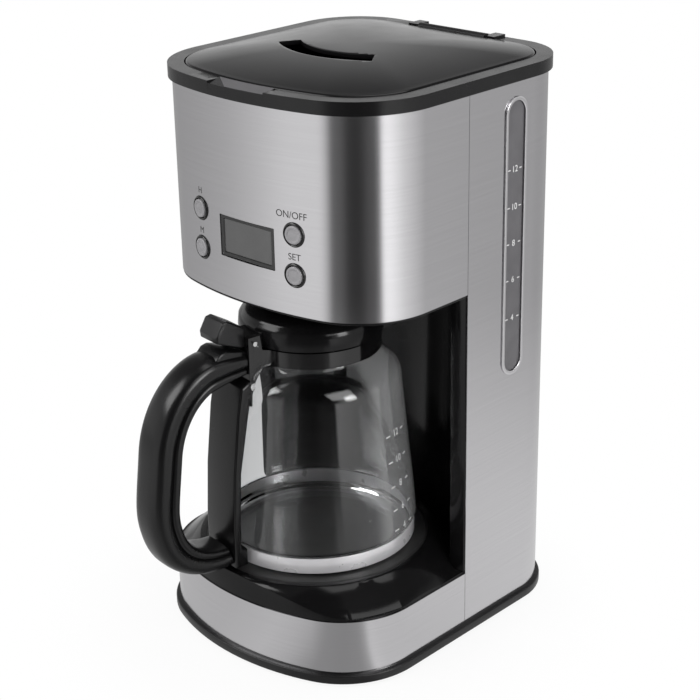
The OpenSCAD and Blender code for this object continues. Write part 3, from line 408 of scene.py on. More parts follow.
def clear_glass():
    """Clear glass with a faint painted sheen, a pale patch standing in for a reflection, behind its
    scale on the side that faces +X.
    """
    finish = Finish("clear_glass", Transmission_Weight=1.0, IOR=1.47, Base_Color=(0.975, 0.98, 0.985, 1))
    finish.roughness(finish.noise(30, detail=4), 0.0, 0.012)
    tree = finish.tree
    shift = new_node(tree, "ShaderNodeMapping")
    shift.inputs["Location"].default_value = (0, -AXIS_Y * MM, 0)
    tree.links.new(finish.place, shift.inputs["Vector"])
    split = new_node(tree, "ShaderNodeSeparateXYZ")
    tree.links.new(shift.outputs["Vector"], split.inputs["Vector"])
    compass = compass_angle(tree, split)
    start = mapped(tree, compass, *map(math.radians, GLASS_PAINTED_SHEEN["start"]), smooth=True)
    end = mapped(tree, compass, *map(math.radians, GLASS_PAINTED_SHEEN["end"]))
    above = mapped(tree, split.outputs["Z"], *GLASS_PAINTED_SHEEN["low"])
    # painted sheen: less light passes through here, so the glass shows a pale patch in place of a
    # reflection
    painted_sheen = maths(tree, "MULTIPLY", maths(tree, "MULTIPLY", start, end), above)
    clear = maths(tree, "SUBTRACT", 1.0, maths(tree, "MULTIPLY", painted_sheen, GLASS_PAINTED_SHEEN["strength"]))
    tree.links.new(clear, finish.shader.inputs["Transmission Weight"])
    return finish.bump(finish.noise(14, detail=2), 0.03, 0.4)


def make_finishes():
    made = {
        "steel": brushed("brushed_steel", 0.62, 0.14, 0.9),
        "trim": brushed("satin_trim", 0.72, 0.22, 0.4),
        "band": tinted("polished_band", grey(0.74, 0.02), grey(0.80, 0.02), 0.3, 1500, 0.004,
                       Metallic=0.35),
        "gloss": moulded("gloss_black", 0.0055, 0.13, 240, 0.006, Specular_IOR_Level=0.26),
        "lid_gloss": moulded("lid_gloss_black", 0.006, 0.17, 260, 0.008, Specular_IOR_Level=0.2),
        "satin": moulded("satin_black", 0.008, 0.34, 1600, 0.012, Specular_IOR_Level=0.4),
        "rim": moulded("rim_black", 0.006, 0.24, 1200, 0.008, Specular_IOR_Level=0.36),
        # the scoop face's pale grey is a painted sheen
        "scoop": moulded("scoop_painted_sheen", 0.08, 0.34, 1600, 0.008),
        "collar": moulded("collar_black", 0.005, 0.10, 240, 0.006, Specular_IOR_Level=0.6),
        "grip": moulded("grip_black", 0.0045, 0.24, 1300, 0.008, Specular_IOR_Level=0.36),
        "inner": moulded("inner_plastic", 0.016, 0.42, 1500, 0.012),
        "plate": tinted("plate_coating", grey(0.020), grey(0.034), 0.36, 2600, 0.02),
        "aluminium": tinted("cast_aluminium", grey(0.50), grey(0.62), 0.38, 900, 0.02, Metallic=1.0),
        "zinc": tinted("zinc_steel", grey(0.60), grey(0.74), 0.22, 1200, 0.008, Metallic=1.0),
        "rubber": tinted("silicone_black", grey(0.010), grey(0.018), 0.6, 2200, 0.02),
        "hose": tinted("silicone_clear", (0.50, 0.48, 0.44), (0.62, 0.60, 0.56), 0.4,
                       Subsurface_Weight=0.15),
        "red": tinted("silicone_red", (0.24, 0.035, 0.022), (0.34, 0.05, 0.03), 0.5),
        "tank": tinted("tank_plastic", (0.36, 0.38, 0.40), (0.44, 0.46, 0.48), 0.38, 700, 0.02,
                       Subsurface_Weight=0.1),
        "window": tinted("gauge_plastic", grey(0.115, 0.05), grey(0.140, 0.05), 0.20, 500, 0.006),
        "lens": tinted("lens_plastic", grey(0.070), grey(0.082), 0.16, 400, 0.004, Coat_Weight=0.4),
        "bezel": tinted("display_bezel", grey(0.018), grey(0.026), 0.3, 900, 0.008),
        "display": tinted("display", (0.105, 0.110, 0.105), (0.120, 0.126, 0.120), 0.35),
        "cap": tinted("button_grey", grey(0.24, 0.03), grey(0.29, 0.03), 0.32, 1500, 0.008),
        "ring": tinted("button_ring", grey(0.020), grey(0.034), 0.22, 900, 0.008, Metallic=0.5),
        "board": tinted("board_green", (0.010, 0.065, 0.022), (0.016, 0.09, 0.032), 0.35, 800, 0.02),
        "ceramic": tinted("ceramic", (0.55, 0.53, 0.46), (0.64, 0.62, 0.55), 0.5),
        "print_white": tinted("print_white", grey(0.72), grey(0.84), 0.5),
        "engraved": tinted("panel_print", grey(0.02), grey(0.03), 0.5),
    }
    mesh = tinted("mesh_gold", (0.55, 0.42, 0.16), (0.72, 0.56, 0.24), 0.34, Metallic=1.0)
    weave = new_node(mesh.tree, "ShaderNodeTexVoronoi")
    weave.inputs["Scale"].default_value = 1400
    mesh.tree.links.new(mesh.place, weave.inputs["Vector"])
    made["mesh"] = mesh.bump(weave.outputs["Distance"], 0.12)
    made["glass"] = clear_glass()
    return {name: finish.material for name, finish in made.items()}


# Material of every CAD node that isn't replaced, and the width of its edge rounding, millimetres
NODE_FINISH = {
    "plinth": ("satin", 0.9), "bottom_cover": ("inner", 0.2), "rubber_feet": ("rubber", 0.5),
    "bottom_screws": ("zinc", 0.2), "base_deck": ("gloss", 0.8),
    "warming_plate": ("plate", 0.4), "plate_seal": ("rubber", 0.15), "heater_block": ("aluminium", 0.4),
    "water_tube": ("aluminium", 0.1), "heater_clamp": ("zinc", 0.2), "thermostat": ("ceramic", 0.2),
    "column_front": ("gloss", 0.5), "water_tank": ("tank", 0.5),
    "gauge_window": ("window", 0.0), "gauge_frame": ("trim", 0.45), "check_valve": ("tank", 0.2),
    "inlet_hose": ("hose", 0.3), "riser_tube": ("tank", 0.2), "riser_grommet": ("red", 0.2),
    "cord_gland": ("satin", 0.5), "terminal_block": ("ceramic", 0.3),
    "head_base": ("gloss", 0.4), "head_tray": ("inner", 0.3), "filter_basket": ("inner", 0.4),
    "mesh_filter": ("mesh", 0.1), "drip_seal": ("red", 0.1), "drip_stop": ("inner", 0.3),
    "drip_spring": ("zinc", 0.0), "top_rim": ("rim", 1.3), "hinge_pins": ("zinc", 0.1),
    "lid_liner": ("inner", 0.4), "shower_head": ("inner", 0.3), "lcd_module": ("display", 0.2),
    "control_frame": ("inner", 0.2), "control_board": ("board", 0.1), "board_screws": ("zinc", 0.2),
    "tact_switches": ("inner", 0.2), "carafe_band": ("band", 0.2), "carafe_collar": ("collar", 0.7),
    "handle_strap": ("grip", 1.4), "handle_screws": ("zinc", 0.25), "carafe_pin": ("zinc", 0.3),
    "carafe_lid": ("gloss", 0.6), "lid_lever": ("satin", 1.2),
}


# ---- modifiers ------------------------------------------------------------------------------

def smooth_group(angle):
    """Geometry nodes: join touching corners, shade smooth, keep edges over the angle sharp."""
    group = bpy.data.node_groups.new("smooth_by_angle", "GeometryNodeTree")
    group.interface.new_socket("Geometry", in_out="INPUT", socket_type="NodeSocketGeometry")
    group.interface.new_socket("Geometry", in_out="OUTPUT", socket_type="NodeSocketGeometry")
    start = new_node(group, "NodeGroupInput")
    end = new_node(group, "NodeGroupOutput")
    merge = new_node(group, "GeometryNodeMergeByDistance")
    merge.inputs["Distance"].default_value = 0.01 * MM
    edge = new_node(group, "GeometryNodeInputMeshEdgeAngle")
    steep = new_node(group, "FunctionNodeCompare", operation="GREATER_THAN")
    steep.inputs["B"].default_value = math.radians(angle)
    smooth = new_node(group, "GeometryNodeSetShadeSmooth", domain="FACE")
    sharp = new_node(group, "GeometryNodeSetShadeSmooth", domain="EDGE")
    sharp.inputs["Shade Smooth"].default_value = False
    for a, b in ((start.outputs[0], merge.inputs["Geometry"]),
                 (merge.outputs["Geometry"], smooth.inputs["Geometry"]),
                 (edge.outputs["Unsigned Angle"], steep.inputs["A"]),
                 (smooth.outputs["Geometry"], sharp.inputs["Geometry"]),
                 (steep.outputs["Result"], sharp.inputs["Selection"]),
                 (sharp.outputs["Geometry"], end.inputs[0])):
        group.links.new(a, b)
    return group


def soften(obj, width=0.0, segments=3):
    """Rounds the edges of a piece by a width in millimetres and smooths its curved faces."""
    if width:
        weld = obj.modifiers.new("weld", "WELD")
        weld.merge_threshold = 0.01 * MM
        bevel = obj.modifiers.new("edges", "BEVEL")
        bevel.width = width * MM
        bevel.segments = segments
        bevel.limit_method = "ANGLE"
        bevel.angle_limit = math.radians(38)
        bevel.miter_outer = "MITER_ARC"
    smooth = obj.modifiers.new("smooth", "NODES")
    smooth.node_group = SMOOTH


# ---- mesh helpers ---------------------------------------------------------------------------

def plain_mesh(name, verts, faces):
    """A bare mesh object from points in millimetres, with its faces turned outward."""
    mesh = bpy.data.meshes.new(name)
    mesh.from_pydata([Vector(v) * MM for v in verts], [], faces)
    tidy = bmesh.new()
    tidy.from_mesh(mesh)
    bmesh.ops.recalc_face_normals(tidy, faces=tidy.faces)
    tidy.to_mesh(mesh)
    tidy.free()
    obj = bpy.data.objects.new(name, mesh)
    bpy.context.scene.collection.objects.link(obj)
    return obj


def make_piece(name, verts, faces, material, body, replaced=(), slot=None, width=0.0):
    """A finished piece from points in millimetres, riding on a body."""
    obj = plain_mesh(name, verts, faces)
    obj.data.materials.append(material)
    soften(obj, width)
    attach(obj, body)
    if replaced:
        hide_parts(*replaced)


def arc(cx, cy, r, start, end, n):
    return [(cx + r * math.cos(start + (end - start) * i / n),
             cy + r * math.sin(start + (end - start) * i / n)) for i in range(n + 1)]


def outline_centres(form):
    """Radius and centre of the bowed front, then the centres of the front and the rear corner."""
    bow, corner = form["bow"], form["corner"]
    r = (HALF ** 2 + bow ** 2) / (2 * bow)
    cy = -form["front"] + r
    xc = HALF - corner
    yc = cy - math.sqrt((r - corner) ** 2 - xc ** 2)
    return r, cy, xc, yc, HALF - REAR_CORNER, BACK - REAR_CORNER


def body_outline(form, inset=0.0, fine=2):
    """The body's outline: bowed front, corner arcs, sides and rear arcs, moved in by inset."""
    r, cy, xc, yc, xr, yr = outline_centres(form)
    corner = form["corner"]
    a = math.atan2(yc - cy, xc)
    half_turn = math.pi
    return (arc(0, cy, r - inset, -half_turn - a, a, 20 * fine)[1:]
            + arc(xc, yc, corner - inset, a, 0, 18 * fine)[1:]
            + straight((HALF - inset, yc), (HALF - inset, yr), 12)
            + arc(xr, yr, REAR_CORNER - inset, 0, half_turn / 2, 14 * fine)[1:]
            + straight((xr, BACK - inset), (-xr, BACK - inset), 16)
            + arc(-xr, yr, REAR_CORNER - inset, half_turn / 2, half_turn, 14 * fine)[1:]
            + straight((-HALF + inset, yr), (-HALF + inset, yc), 12)
            + arc(-xc, yc, corner - inset, half_turn, half_turn - a, 18 * fine)[1:])


def straight(a, b, n):
    return [(a[0] + (b[0] - a[0]) * i / n, a[1] + (b[1] - a[1]) * i / n) for i in range(1, n + 1)]


def loft(rings, cap_start=False, cap_end=False, closed_path=False):
    """Points and faces of a skin through rings that have the same number of points."""
    n = len(rings[0])
    m = len(rings)
    verts = [p for ring in rings for p in ring]
    faces = []
    for j in range(m if closed_path else m - 1):
        k = (j + 1) % m
        for i in range(n):
            h = (i + 1) % n
            faces.append((j * n + i, j * n + h, k * n + h, k * n + i))
    if cap_start:
        faces.append(tuple(range(n)))
    if cap_end:
        faces.append(tuple((m - 1) * n + i for i in range(n)))
    return verts, faces


def revolve(profile):
    """Skin of a closed profile of (radius, height) turned round the carafe's axis."""
    steps = 128
    rings = []
    for j in range(steps):
        a = 2 * math.pi * j / steps
        rings.append([(r * math.cos(a), AXIS_Y + r * math.sin(a), z) for r, z in profile])
    return loft(rings, closed_path=True)


def cubic(a, b, c, d, t):
    return tuple((1 - t) ** 3 * p + 3 * t * (1 - t) ** 2 * q + 3 * t * t * (1 - t) * r + t ** 3 * s
                 for p, q, r, s in zip(a, b, c, d))


def curve(points, n):
    """Points of a cubic Bezier curve with four control points, without the first."""
    return [cubic(*points, i / n) for i in range(1, n + 1)]


def prism(name, rings):
    return plain_mesh(name, *loft(rings, cap_start=True, cap_end=True))


def cut(obj, cutter):
    """Takes the cutter's volume out of the piece and deletes the cutter."""
    change = obj.modifiers.new("cut", "BOOLEAN")
    change.object = cutter
    change.operation = "DIFFERENCE"
    change.solver = "EXACT"
    bpy.context.view_layer.objects.active = obj
    bpy.ops.object.modifier_apply(modifier=change.name)
    bpy.data.objects.remove(cutter)


# ---- steel sheets ---------------------------------------------------------------------------

def outline_normal(form, x, y):
    """Outward direction of the body's outline at a point on it."""
    r, cy, xc, yc, xr, yr = outline_centres(form)
    across = abs(x)
    if y > yr:
        out = Vector((max(across - xr, 0), y - yr))
    elif y > yc:
        out = Vector((1, 0))
    elif across * (cy - yc) > xc * (cy - y):
        out = Vector((across - xc, y - yc))
    else:
        out = Vector((across, y - cy))
    out.normalize()
    return Vector((math.copysign(out.x, x), out.y, 0))


def sheet_path(form, inset, front_part):
    """The outline's part ahead of the seam or behind it, from one seam to the other."""
    seam = SEAM_Y - SNUG if front_part else SEAM_Y + SNUG
    outline = body_outline(form, inset, 3)
    side = HALF - inset
    if front_part:
        gap = next(i for i, p in enumerate(outline) if p[1] >= seam)
        right = outline[:gap]
        left = [p for p in outline[gap:] if p[1] < seam]
        return [(-side, seam)] + left + right + [(side, seam)]
    return [(side, seam)] + [p for p in outline if p[1] > seam] + [(-side, seam)]


def steel_sheet(name, node, form, low, high, front_part, cutters, material, rows=10):
    """Bent sheet with its openings; its shading follows the outline exactly."""
    outer, inner = (sheet_path(form, inset, front_part) for inset in (0.0, STEEL_T))
    n = len(outer)
    verts = []
    for j in range(rows + 1):
        z = low + (high - low) * j / rows
        verts += [(x, y, z) for x, y in outer + inner]
    faces = []
    for j in range(rows):
        a, b = j * 2 * n, (j + 1) * 2 * n
        for k in list(range(n - 1)) + list(range(n, 2 * n - 1)):
            faces.append((a + k, a + k + 1, b + k + 1, b + k))
        for k in (0, n - 1):
            faces.append((a + k, a + n + k, b + n + k, b + k))
    for a in (0, rows * 2 * n):
        faces += [(a + k, a + k + 1, a + n + k + 1, a + n + k) for k in range(n - 1)]
    sheet = plain_mesh(name, verts, faces)
    for cutter in cutters:
        cut(sheet, cutter)
    mesh = sheet.data
    normals = [Vector((0, 0, 0))] * len(mesh.loops)
    for polygon in mesh.polygons:
        polygon.use_smooth = False
        for i in polygon.loop_indices:
            place = mesh.vertices[mesh.loops[i].vertex_index].co / MM
            out = outline_normal(form, place.x, place.y)
            facing = polygon.normal.dot(out)
            if abs(facing) > 0.9:
                polygon.use_smooth = True
                normals[i] = out * math.copysign(1, facing)
    mesh.normals_split_custom_set(normals)
    mesh.materials.append(material)
    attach(sheet, "machine")
    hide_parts(node)


def make_scoop(finish):
    """The shallow scoop in the front of the rim: a dark bed with a sloping face, whose paler grey is a
    painted sheen.
    """
    outer, face_outer, face_inner = 0.05 - RIM_OUT, 0.65 - RIM_OUT, SCOOP_INNER - 0.2
    face_half = SCOOP_HALF - 0.2
    face_left = -8.0               # the face's left end along the rim's outer edge

    def edge(inset, start, end, z):
        r = BOW_R - inset
        points = (start + (end - start) * i / 16 for i in range(17))
        return [(x, BOW_Y - math.sqrt(r * r - x * x), z) for x in points]

    bed = [edge(outer, -SCOOP_HALF, SCOOP_HALF, RIM_TOP + front)
           + edge(SCOOP_INNER, SCOOP_HALF, -SCOOP_HALF, RIM_TOP + back)
           for front, back in ((-5.2, -5.2), (-1.3, 0.4))]
    make_piece("scoop_bed", *loft(bed, cap_start=True, cap_end=True), finish["rim"], "machine",
               slot="satin_black")
    # pale sloping face: a painted sheen on the scoop
    face = [edge(face_outer, face_left, face_half, RIM_TOP - 1.1 - drop)
            + edge(face_inner, face_half, -face_half, RIM_TOP + 0.6 - drop) for drop in (0.4, 0.0)]
    make_piece("scoop_face", *loft(face, cap_start=True, cap_end=True), finish["scoop"], "machine",
               slot="satin_black")


def make_sheets(finish):
    depth = 6.0                   # how far a cutter reaches to each side of the steel
    cutters = []
    for x, z in BUTTONS.values():
        origin, inward, side = on_bow(x, z)
        hole = BUTTON_R + 1.8 + SNUG
        rings = [[tuple(origin + inward * d + side * u + Vector((0, 0, v)))
                  for u, v in arc(0, 0, hole, 0, 2 * math.pi, 96)[1:]] for d in (-depth, depth)]
        cutters.append(prism("hole_cutter", rings))
    window = [[(LCD_X + x, -HEAD["front"] + d, LCD_Z + z) for x, z in rounded_rect(LCD_W, LCD_H, 0.5)]
              for d in (-depth, depth)]
    cutters.append(prism("window_cutter", window))
    steel_sheet("head_sheet", "head_shell", HEAD, HEAD_BOTTOM, HEAD_TOP, True, cutters, finish["steel"])
    steel_sheet("base_sheet", "base_band", BASE, PLINTH_TOP, BAND_TOP, True, [], finish["steel"], 4)
    r = GAUGE_SLOT["width"] / 2
    slot = (arc(GAUGE_Y, GAUGE_SLOT["high"] - r, r, 0, math.pi, 24)
            + arc(GAUGE_Y, GAUGE_SLOT["low"] + r, r, math.pi, 2 * math.pi, 24))
    across, height, radius = GLAND
    hole = arc(across, height, radius, 0, 2 * math.pi, 64)[1:]
    rear = [prism("slot_cutter", [[(HALF + d, y, z) for y, z in slot] for d in (-depth, depth)]),
            prism("gland_cutter", [[(x, BACK + d, z) for x, z in hole] for d in (-depth, depth)])]
    steel_sheet("rear_sheet", "rear_shell", HEAD, PLINTH_TOP, HEAD_TOP, False, rear, finish["steel"], 20)


# ---- lid ------------------------------------------------------------------------------------

def pillow(share):
    """Height of the lid at a share of the way from its middle to its edge."""
    return LID_EDGE + (LID_TOP - LID_EDGE) * (1 - share ** 2.3)


def vent_plan():
    """Outline of the curved vent: a piece of a ring."""
    cy = VENT_FRONT + VENT_R
    left, right = math.radians(-90 - VENT_LEFT), math.radians(-90 + VENT_RIGHT)
    return (arc(0, cy, VENT_R + VENT_W / 2, left, right, 36)
            + arc(0, cy, VENT_R - VENT_W / 2, right, left, 36))


def make_lid(finish):
    """The domed lid: a shell with a rounded edge, the curved vent and the hinge's knuckle."""
    edge = 1.8
    mid = Vector((0, LID_MID_Y))

    def level(inset, z):
        return [(x, y, z) for x, y in body_outline(HEAD, inset)]

    def shrunk(inset, steps, drop):
        """Rings from an inset outline to near the middle, on the pillow lowered by drop."""
        rim = body_outline(HEAD, inset)
        rings = []
        for k in range(steps + 1):
            share = 1 - k / (steps + 0.6)
            points = [mid + (Vector(p) - mid) * share for p in rim]
            rings.append([(p.x, p.y, pillow(share) - drop) for p in points])
        return rings

    shell_edge = LID_INSET + LID_SHELL
    rings = [level(shell_edge, LID_BOTTOM), level(LID_INSET + 0.4, LID_BOTTOM),
             level(LID_INSET, LID_BOTTOM + 0.4)]
    for i in range(7):
        turn = math.pi / 2 * i / 7
        inset = LID_INSET + edge * (1 - math.cos(turn))
        rings.append(level(inset, LID_EDGE - edge * (1 - math.sin(turn))))
    rings += shrunk(LID_INSET + edge, 26, 0.0)
    verts, faces = loft(rings, cap_end=True)
    under, under_faces = loft(shrunk(shell_edge, 8, LID_SHELL), cap_end=True)
    n = len(rings[0])
    base = len(verts)
    verts += under
    faces += [tuple(i + base for i in face) for face in under_faces]
    faces += [(i, (i + 1) % n, base + (i + 1) % n, base + i) for i in range(n)]
    lid = plain_mesh("lid_dome", verts, faces)

    notch_half = EAR_HALF + 0.3
    notch = [(-notch_half, NOTCH_Y), (notch_half, NOTCH_Y), (notch_half, BACK), (-notch_half, BACK)]
    for name, plan in (("vent_cutter", vent_plan()), ("notch_cutter", notch)):
        cut(lid, prism(name, [[(x, y, z) for x, y in plan] for z in (LID_BOTTOM - 5, LID_TOP + 5)]))
    lid.data.materials.append(finish["lid_gloss"])
    soften(lid, 0.35, 2)
    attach(lid, "top_lid")
    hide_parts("lid")

    # knuckle bar: a rounded section round the pin, with a web to the lid
    section = arc(HINGE_Y, HINGE_Z, KNUCKLE_R, math.radians(-150), math.radians(150), 30)
    section += [(NOTCH_Y - 1.2, RIM_TOP - 0.3), (NOTCH_Y - 1.2, RIM_TOP - 2.6),
                (HINGE_Y - 2.5, RIM_TOP - 2.6)]
    stations = [-KNUCKLE_HALF + 0.01, -KNUCKLE_HALF + 0.5, 0, KNUCKLE_HALF - 0.5, KNUCKLE_HALF - 0.01]
    rings = [[(x, y, z) for y, z in section] for x in stations]
    make_piece("lid_knuckle", *loft(rings, cap_start=True, cap_end=True), finish["satin"], "top_lid",
               slot="gloss_black", width=0.3)
    # web behind the notch
    web = [(NOTCH_Y - 2.5, LID_BOTTOM), (NOTCH_Y, LID_BOTTOM), (NOTCH_Y, RIM_TOP + 0.6),
           (NOTCH_Y - 2.5, RIM_TOP + 0.6)]
    rings = [[(EAR_HALF * k, y, z) for y, z in web] for k in (-1, -0.5, 0, 0.5, 1)]
    make_piece("lid_web", *loft(rings, cap_start=True, cap_end=True), finish["lid_gloss"], "top_lid",
               slot="gloss_black", width=0.2)


# ---- carafe ---------------------------------------------------------------------------------

def glass_side(t):
    """Outer side of the glass from the foot's band to the mouth, moved in by t."""
    z = BAND_Z + BAND_H
    return ([(WAIST_R - t, z + 0.6)]
            + curve([(WAIST_R - t, z + 0.6), (GLASS_R - t, z + 1), (GLASS_R - t, z + 3),
                     (GLASS_R - t, z + 6)], 10)
            + curve([(GLASS_R - t, z + 6), (GLASS_R - t - 1.6, PLATE_TOP + 42),
                     (SHOULDER_R + 2.2 - t, PLATE_TOP + 80), (SHOULDER_R - t, SHOULDER_Z)], 26)
            + curve([(SHOULDER_R - t, SHOULDER_Z), (SHOULDER_R - t - 0.8, SHOULDER_Z + 10),
                     (MOUTH_R - t + 1.5, SHOULDER_Z + 13), (MOUTH_R - t, SHOULDER_Z + 19)], 18))


def glass_radius(z):
    """Outer radius of the glass at a height."""
    side = glass_side(0)
    for (r0, z0), (r1, z1) in zip(side, side[1:]):
        if z0 <= z <= z1:
            return r0 + (r1 - r0) * (z - z0) / (z1 - z0)
    return MOUTH_R


def make_glass(finish):
    lip = [(MOUTH_R - GLASS_T / 2 + GLASS_T / 2 * math.cos(a), GLASS_TOP - 1.2 + 1.2 * math.sin(a))
           for a in (math.pi * i / 8 for i in range(9))]
    outer = [(0.01, GLASS_BOTTOM), (WAIST_R - 4, GLASS_BOTTOM), (WAIST_R - 1.4, GLASS_BOTTOM + 0.4),
             (WAIST_R - 0.2, GLASS_BOTTOM + 1.6), (WAIST_R, GLASS_BOTTOM + 3)] + glass_side(0)
    inner = [(0.01, GLASS_BOTTOM + GLASS_T), (WAIST_R - 8, GLASS_BOTTOM + GLASS_T),
             (WAIST_R - 4.4, GLASS_BOTTOM + GLASS_T + 0.8), (WAIST_R - GLASS_T, GLASS_BOTTOM + 5.2)]
    inner += glass_side(GLASS_T)
    make_piece("carafe_bowl", *revolve(outer + lip + inner[::-1]), finish["glass"], "carafe",
               ("carafe_glass",), "glass")


def handle_point(reach, across, z):
    out = (-math.sin(HANDLE_TURN), -math.cos(HANDLE_TURN))
    side = (math.cos(HANDLE_TURN), -math.sin(HANDLE_TURN))
    return (out[0] * reach + side[0] * across, AXIS_Y + out[1] * reach + side[1] * across, z)


def grip_line(t):
    """Middle line of the grip as (reach, height), for t from 0 at the neck to 4 at the foot."""
    top, low, far = HANDLE_TOP, HANDLE_LOW, GRIP_REACH
    spans = [
        [(57.2, top), (64, top), (70, top), (78, top - 1)],
        [(78, top - 1), (94, top - 3), (far - 4, top - 20), (far - 1, top - 46)],
        [(far - 1, top - 46), (far + 3, top - 78), (far + 5, low + 40), (far, low + 24)],
        [(far, low + 24), (far - 5, low + 8), (far - 20, low - 0.5), (74.5, low + 1)],
    ]
    k = min(int(t), 3)
    return cubic(*spans[k], t - k)


def grip_skin(middle, half_depth, half_width, square, start, end):
    """Skin of a part of the grip. middle and half_depth are shares of the grip's half depth."""
    steps, around = 96, 40
    rings = []
    for j in range(steps + 1):
        t = start + (end - start) * j / steps
        p = grip_line(t)
        a, b = grip_line(max(t - 0.02, 0)), grip_line(min(t + 0.02, 4))
        d = Vector((b[0] - a[0], b[1] - a[1])).normalized()
        slim = 0.72 + 0.28 * t if t < 1 else (1 - 0.38 * (t - 3.2) if t > 3.2 else 1)
        depth = GRIP_DEPTH / 2 * slim
        ring = []
        for i in range(around):
            c, s = math.cos(2 * math.pi * i / around), math.sin(2 * math.pi * i / around)
            u = depth * (middle + half_depth * math.copysign(abs(c) ** square, c))
            v = half_width * math.copysign(abs(s) ** square, s)
            ring.append(handle_point(p[0] - d.y * u, v, p[1] + d.x * u))
        rings.append(ring)
    return loft(rings, cap_start=True, cap_end=True)


def make_handle(finish):
    """The grip is an outer moulding with a narrower insert along its inner side."""
    half = GRIP_W / 2
    make_piece("grip_outer", *grip_skin(0.26, 0.74, half, 0.72, 0.0, 4.0), finish["grip"], "carafe",
               ("carafe_handle",), "satin_black", width=0.5)
    make_piece("grip_insert", *grip_skin(-0.60, 0.40, half * 0.92, 0.66, 0.02, 3.98), finish["grip"],
               "carafe", slot="satin_black", width=0.4)
    # block on the grip's root, under the thumb lever
    side = [(56.9, 194), (56.9, 200.4), (64, 201.9), (71, 203.6), (75, 202.6), (79, 198.4), (76, 193)]
    rings = [[handle_point(reach, across, z) for reach, z in side] for across in (-10.5, -4, 4, 10.5)]
    make_piece("thumb_block", *loft(rings, cap_start=True, cap_end=True), finish["grip"], "carafe",
               slot="satin_black", width=1.0)
    # leg of the collar's lug, which runs down the shoulder to the strap, with its screw
    side = [(46, 190), (52.6, 180.5), (55.2, 173), (55.7, 165.5), (56.9, 165.5), (56.9, 190)]
    rings = [[handle_point(reach, across, z) for reach, z in side] for across in (-13.4, -5, 5, 13.4)]
    make_piece("lug_leg", *loft(rings, cap_start=True, cap_end=True), finish["collar"], "carafe",
               slot="satin_black", width=0.2)
    head = [[handle_point(reach, across, z) for reach, z in arc(54.9, 177, r, 0, 2 * math.pi, 24)[1:]]
            for across, r in ((13.0, 1.4), (13.9, 1.4), (14.1, 0.9))]
    make_piece("lug_screw", *loft(head, cap_start=True, cap_end=True), finish["zinc"], "carafe",
               slot="zinc_steel")


# ---- head controls --------------------------------------------------------------------------

def on_bow(x, z):
    """Point, inward direction and sideways direction on the bowed steel front."""
    turn = math.asin(x / BOW_R)
    inward = Vector((-math.sin(turn), math.cos(turn), 0))
    side = Vector((math.cos(turn), math.sin(turn), 0))
    return Vector((0, BOW_Y, z)) - inward * BOW_R, inward, side


def turned_on_bow(profile, x, z):
    """A closed profile of (radius, depth) turned round a button's axis; depth runs inward."""
    steps = 64
    origin, inward, side = on_bow(x, z)
    up = Vector((0, 0, 1))
    rings = []
    for j in range(steps):
        a = 2 * math.pi * j / steps
        across = side * math.cos(a) + up * math.sin(a)
        rings.append([tuple(origin + across * r + inward * d) for r, d in profile])
    return loft(rings, closed_path=True)


BUTTONS = {"hour": (-BUTTON_X, BUTTON_HIGH), "minute": (-BUTTON_X, BUTTON_LOW),
           "power": (BUTTON_X, BUTTON_HIGH), "program": (BUTTON_X, BUTTON_LOW)}


def make_buttons(finish):
    bezels = [], []
    for name, (x, z) in BUTTONS.items():
        cap = [(0.01, 4.9), (2.9, 4.9), (3.0, 3.4), (BUTTON_R, 3.4), (BUTTON_R, -0.9),
               (BUTTON_R - 0.15, -1.25), (BUTTON_R - 0.5, -1.5), (BUTTON_R - 1.0, -1.6),
               (BUTTON_R - 1.5, -1.5), (BUTTON_R - 1.9, -1.2), (BUTTON_R - 2.4, -1.15),
               (1.8, -1.35), (0.9, -1.5), (0.01, -1.55)]
        make_piece(f"{name}_cap", *turned_on_bow(cap, x, z), finish["cap"], f"{name}_key",
                   (f"{name}_button",), "button_grey")
        outer, inner = BUTTON_R + 1.8, BUTTON_R + 0.3
        lip = [(inner, 2.8), (inner, -0.35), (inner + 0.25, -0.75), (inner + 0.7, -1.0),
               (outer - 0.5, -0.85), (outer - 0.15, -0.5), (outer, 0.0), (outer, 2.8)]
        verts, faces = turned_on_bow(lip, x, z)
        base = len(bezels[0])
        bezels[0].extend(verts)
        bezels[1].extend(tuple(i + base for i in face) for face in faces)
    make_piece("button_bezels", *bezels, finish["ring"], "machine", ("button_rings",), "satin_black")


def rounded_rect(w, h, r):
    points = []
    for cx, cz, start in ((w / 2 - r, h / 2 - r, 0), (-w / 2 + r, h / 2 - r, 90),
                          (-w / 2 + r, -h / 2 + r, 180), (w / 2 - r, -h / 2 + r, 270)):
        points += arc(cx, cz, r, math.radians(start), math.radians(start + 90), 6)
    return points


def make_display(finish):
    """The display window: a dark bezel set back in the steel and a grey pane inside it."""
    face = -HEAD["front"]

    def ring(w, h, r, depth):
        return [(LCD_X + x, face + depth, LCD_Z + z) for x, z in rounded_rect(w, h, r)]

    w, h = LCD_W - 0.3, LCD_H - 0.3
    bezel = [ring(w, h, 0.8, 3.0), ring(w, h, 0.8, 1.5), ring(w - 0.5, h - 0.5, 0.8, 1.3),
             ring(w - 4.6, h - 4.0, 0.8, 1.3), ring(w - 5.4, h - 4.8, 0.8, 2.0),
             ring(w - 5.4, h - 4.8, 0.8, 3.0)]
    verts, faces = loft(bezel, closed_path=True)
    make_piece("display_bezel", verts, faces, finish["bezel"], "machine", ("lcd_lens",), "lens_plastic")
    pane = [ring(w - 5.5, h - 4.9, 0.8, 2.9), ring(w - 5.5, h - 4.9, 0.8, 1.9)]
    make_piece("display_pane", *loft(pane, cap_start=True, cap_end=True), finish["lens"], "machine",
               slot="lens_plastic")


# ---- print ----------------------------------------------------------------------------------

